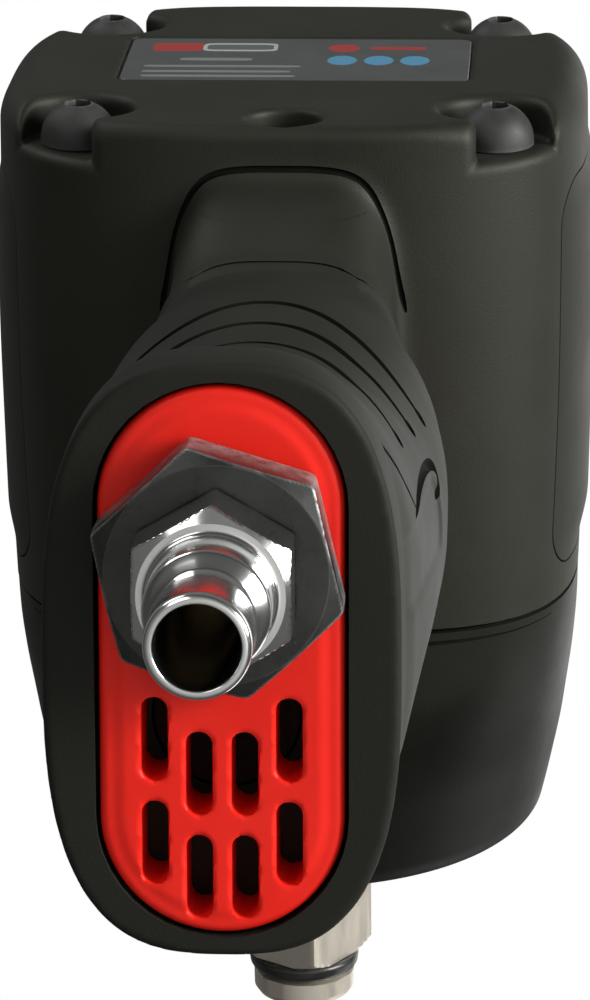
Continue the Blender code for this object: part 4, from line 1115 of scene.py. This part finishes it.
drive_rings = [(0, 0.0), (drive(5.5), 0.0), (drive(5.9), -0.15), (drive(6.4), -0.9), (drive(6.45), -3.0), (5.4, -3.5)]
drive_rings += [(5.4, -5.55), (drive(7.0), -5.65), (drive(7.6), -5.95), (drive(8.2), -6.3), (drive(8.8), -6.7)]
drive_rings += [(drive(8.8), -17.6), (drive(8.6), -17.9), (8.2, -18.2), (8.8, -19.6), (9.0, -21.0), (9.0, -24.0)]
drive_rings += [(9.4, -24.4), (9.4, -37.4), (8.5, -38.0), (8.5, -56.2), (0, -56.2)]
output = spun("drive_anvil", drive_rings, spindle_frame())
jaws = block_cutter("jaws", (-55.9, -11.0, -3.4), (-38.6, 11.0, 3.4))
combined(output, [jaws], "UNION")
finished(crisp(output, 28), NICKEL, "anvil_body", "nickel", "anvil")

ring_profile = rounded_profile([(5.9, -5.5), (6.8, -5.5), (7.05, -5.1), (6.9, -4.1), (6.6, -3.7), (5.9, -3.7)], 0.2)
ring = spun("socket_ring", ring_profile, spindle_frame(), 96)
finished(ring, BLACK_STEEL, "anvil_body", "black_steel", "friction_ring")

button_end = 17.4
button_profile = [(0, button_end - 0.5), (1.6, button_end - 0.5), (2.4, button_end - 0.15), (3.4, button_end)]
button_profile += [(4.1, button_end - 0.2), (4.5, button_end - 0.9)]
button_profile += [(4.5, 3.2), (3.4, 2.4)]
button_profile += [(r, -z) for r, z in reversed(button_profile)]
button = spun("reverse_slider", button_profile, along_y, 96)
finished(crisp(button, 50), RED, "reverse_body", "red_plastic", "reverse_button")

dial = spun(
    "air_dial",
    [(0, -121.9), (2.9, -121.9), (3.3, -121.8), (3.6, -121.4), (3.6, -117.9), (0, -117.9)],
    spindle_frame(0, 0, DIAL_Z),
    96,
)
slot_cutter = block_cutter("dial_slot", (-0.6, -5, -123.0), (0.6, 5, -120.8), spindle_frame(0, 0, DIAL_Z))
combined(dial, [slot_cutter], "DIFFERENCE")
finished(crisp(dial, 30), NICKEL, "regulator_body", "nickel", "power_regulator")

face_top = Matrix.Translation(((REAR_X - FACE_SLOPE * FACE_TOP) * MM, 0, 0))
face_frame = face_top @ Matrix.Rotation(atan(FACE_SLOPE), 4, "Y")
plate_sections = [
    (0.12, rounded_rectangle(LABEL_HALF - 0.1, LABEL_HALF_WIDTH - 0.1, 1.3)),
    (0.20, rounded_rectangle(LABEL_HALF, LABEL_HALF_WIDTH, 1.4)),
    (0.40, rounded_rectangle(LABEL_HALF, LABEL_HALF_WIDTH, 1.4)),
]
plate = lofted("rating_plate", plate_sections, face_frame @ spindle_frame(0, 0, LABEL_Z))
finished(crisp(plate, 30), LABEL, "housing", "label", "label_plate")

# --- Floor, light and camera ----------------------------------------------------------------------------------------

FLOOR_Z = -0.78


def floor():
    bm = bmesh.new()
    bmesh.ops.create_grid(bm, x_segments=2, y_segments=2, size=6.0)
    made = from_bmesh("floor", bm, Matrix.Translation((0, 0, FLOOR_Z)))
    look = Look("floor").set(Specular_IOR_Level=0.2)
    spots = look.noise(400.0, 2.0)
    look.use(Base_Color=look.mixed(spots, (0.62, 0.62, 0.61), (0.66, 0.66, 0.65)), Roughness=look.ramp(spots, 0.7, 0.8))
    made.data.materials.append(look.made)


def world(seen, above, below):
    """White behind the object; what lights it is brighter above than below."""
    made = bpy.data.worlds.new("studio")
    bpy.context.scene.world = made
    made.use_nodes = True
    tree = made.node_tree
    tree.nodes.clear()
    path = tree.nodes.new("ShaderNodeLightPath")
    where = tree.nodes.new("ShaderNodeTexCoord")
    split = tree.nodes.new("ShaderNodeSeparateXYZ")
    rise = tree.nodes.new("ShaderNodeMapRange")
    mix = tree.nodes.new("ShaderNodeMixShader")
    out = tree.nodes.new("ShaderNodeOutputWorld")
    felt, white = tree.nodes.new("ShaderNodeBackground"), tree.nodes.new("ShaderNodeBackground")
    white.inputs["Color"].default_value = (seen, seen, seen, 1.0)
    felt.inputs["Color"].default_value = (1.0, 1.0, 1.0, 1.0)
    for key, value in (("From Min", -0.1), ("From Max", 0.6), ("To Min", below), ("To Max", above)):
        rise.inputs[key].default_value = value
    tree.links.new(where.outputs["Generated"], split.inputs[0])
    tree.links.new(split.outputs["Z"], rise.inputs["Value"])
    tree.links.new(rise.outputs["Result"], felt.inputs["Strength"])
    tree.links.new(path.outputs["Is Camera Ray"], mix.inputs[0])
    tree.links.new(felt.outputs[0], mix.inputs[1])
    tree.links.new(white.outputs[0], mix.inputs[2])
    tree.links.new(mix.outputs[0], out.inputs["Surface"])


AIM = Vector((-0.085, 0.0, -0.07))


def softbox(name, where, width, height, power):
    data = bpy.data.lights.new(name, "AREA")
    data.shape = "RECTANGLE"
    data.size, data.size_y, data.energy = width, height, power
    made = bpy.data.objects.new(name, data)
    made.location = where
    made.rotation_euler = (AIM - Vector(where)).to_track_quat("-Z", "Y").to_euler()
    bpy.context.scene.collection.objects.link(made)


floor()
world(1.0, 0.15, 0.03)
softbox("key", (-0.45, -0.98, -0.36), 0.50, 0.50, 20.0)
softbox("fill", (-0.65, 0.30, -0.45), 0.30, 0.30, 0.5)
softbox("back", (-0.75, 0.50, 0.25), 0.40, 0.40, 2.2)
softbox("front", (0.60, -0.50, 0.20), 0.50, 0.50, 1.2)
softbox("top", (0.10, -0.35, 0.70), 0.60, 0.60, 1.5)

VIEW_TILT, VIEW_YAW, VIEW_ROLL = radians(19.435), radians(-2.844), radians(-0.507)
VIEW_CENTRE = Vector((-75.0, 0.0, -40.0))
VIEW_OFFSET = (1.375, -5.536)
VIEW_DISTANCE = 610.912
FOCAL_RATIO = 5202.264 / 1000.0


def camera():
    ahead_dir = Vector((sin(VIEW_TILT), 0, cos(VIEW_TILT)))
    down = Vector((cos(VIEW_TILT), 0, -sin(VIEW_TILT)))
    right = Vector((0, -1, 0))
    ahead_2 = ahead_dir * cos(VIEW_YAW) + right * sin(VIEW_YAW)
    right_2 = right * cos(VIEW_YAW) - ahead_dir * sin(VIEW_YAW)
    right_3 = right_2 * cos(VIEW_ROLL) + down * sin(VIEW_ROLL)
    down_3 = down * cos(VIEW_ROLL) - right_2 * sin(VIEW_ROLL)
    where = VIEW_CENTRE + right_3 * VIEW_OFFSET[0] + down_3 * VIEW_OFFSET[1] - ahead_2 * VIEW_DISTANCE
    data = bpy.data.cameras.new("camera")
    data.sensor_width = 36.0
    data.lens = FOCAL_RATIO * 36.0
    data.clip_start, data.clip_end = 0.02, 50.0
    made = bpy.data.objects.new("camera", data)
    made.matrix_world = Matrix.Translation(where * MM) @ Matrix((right_3, -down_3, -ahead_2)).transposed().to_4x4()
    bpy.context.scene.collection.objects.link(made)
    bpy.context.scene.camera = made


camera()
bpy.context.scene.view_settings.view_transform = "Standard"
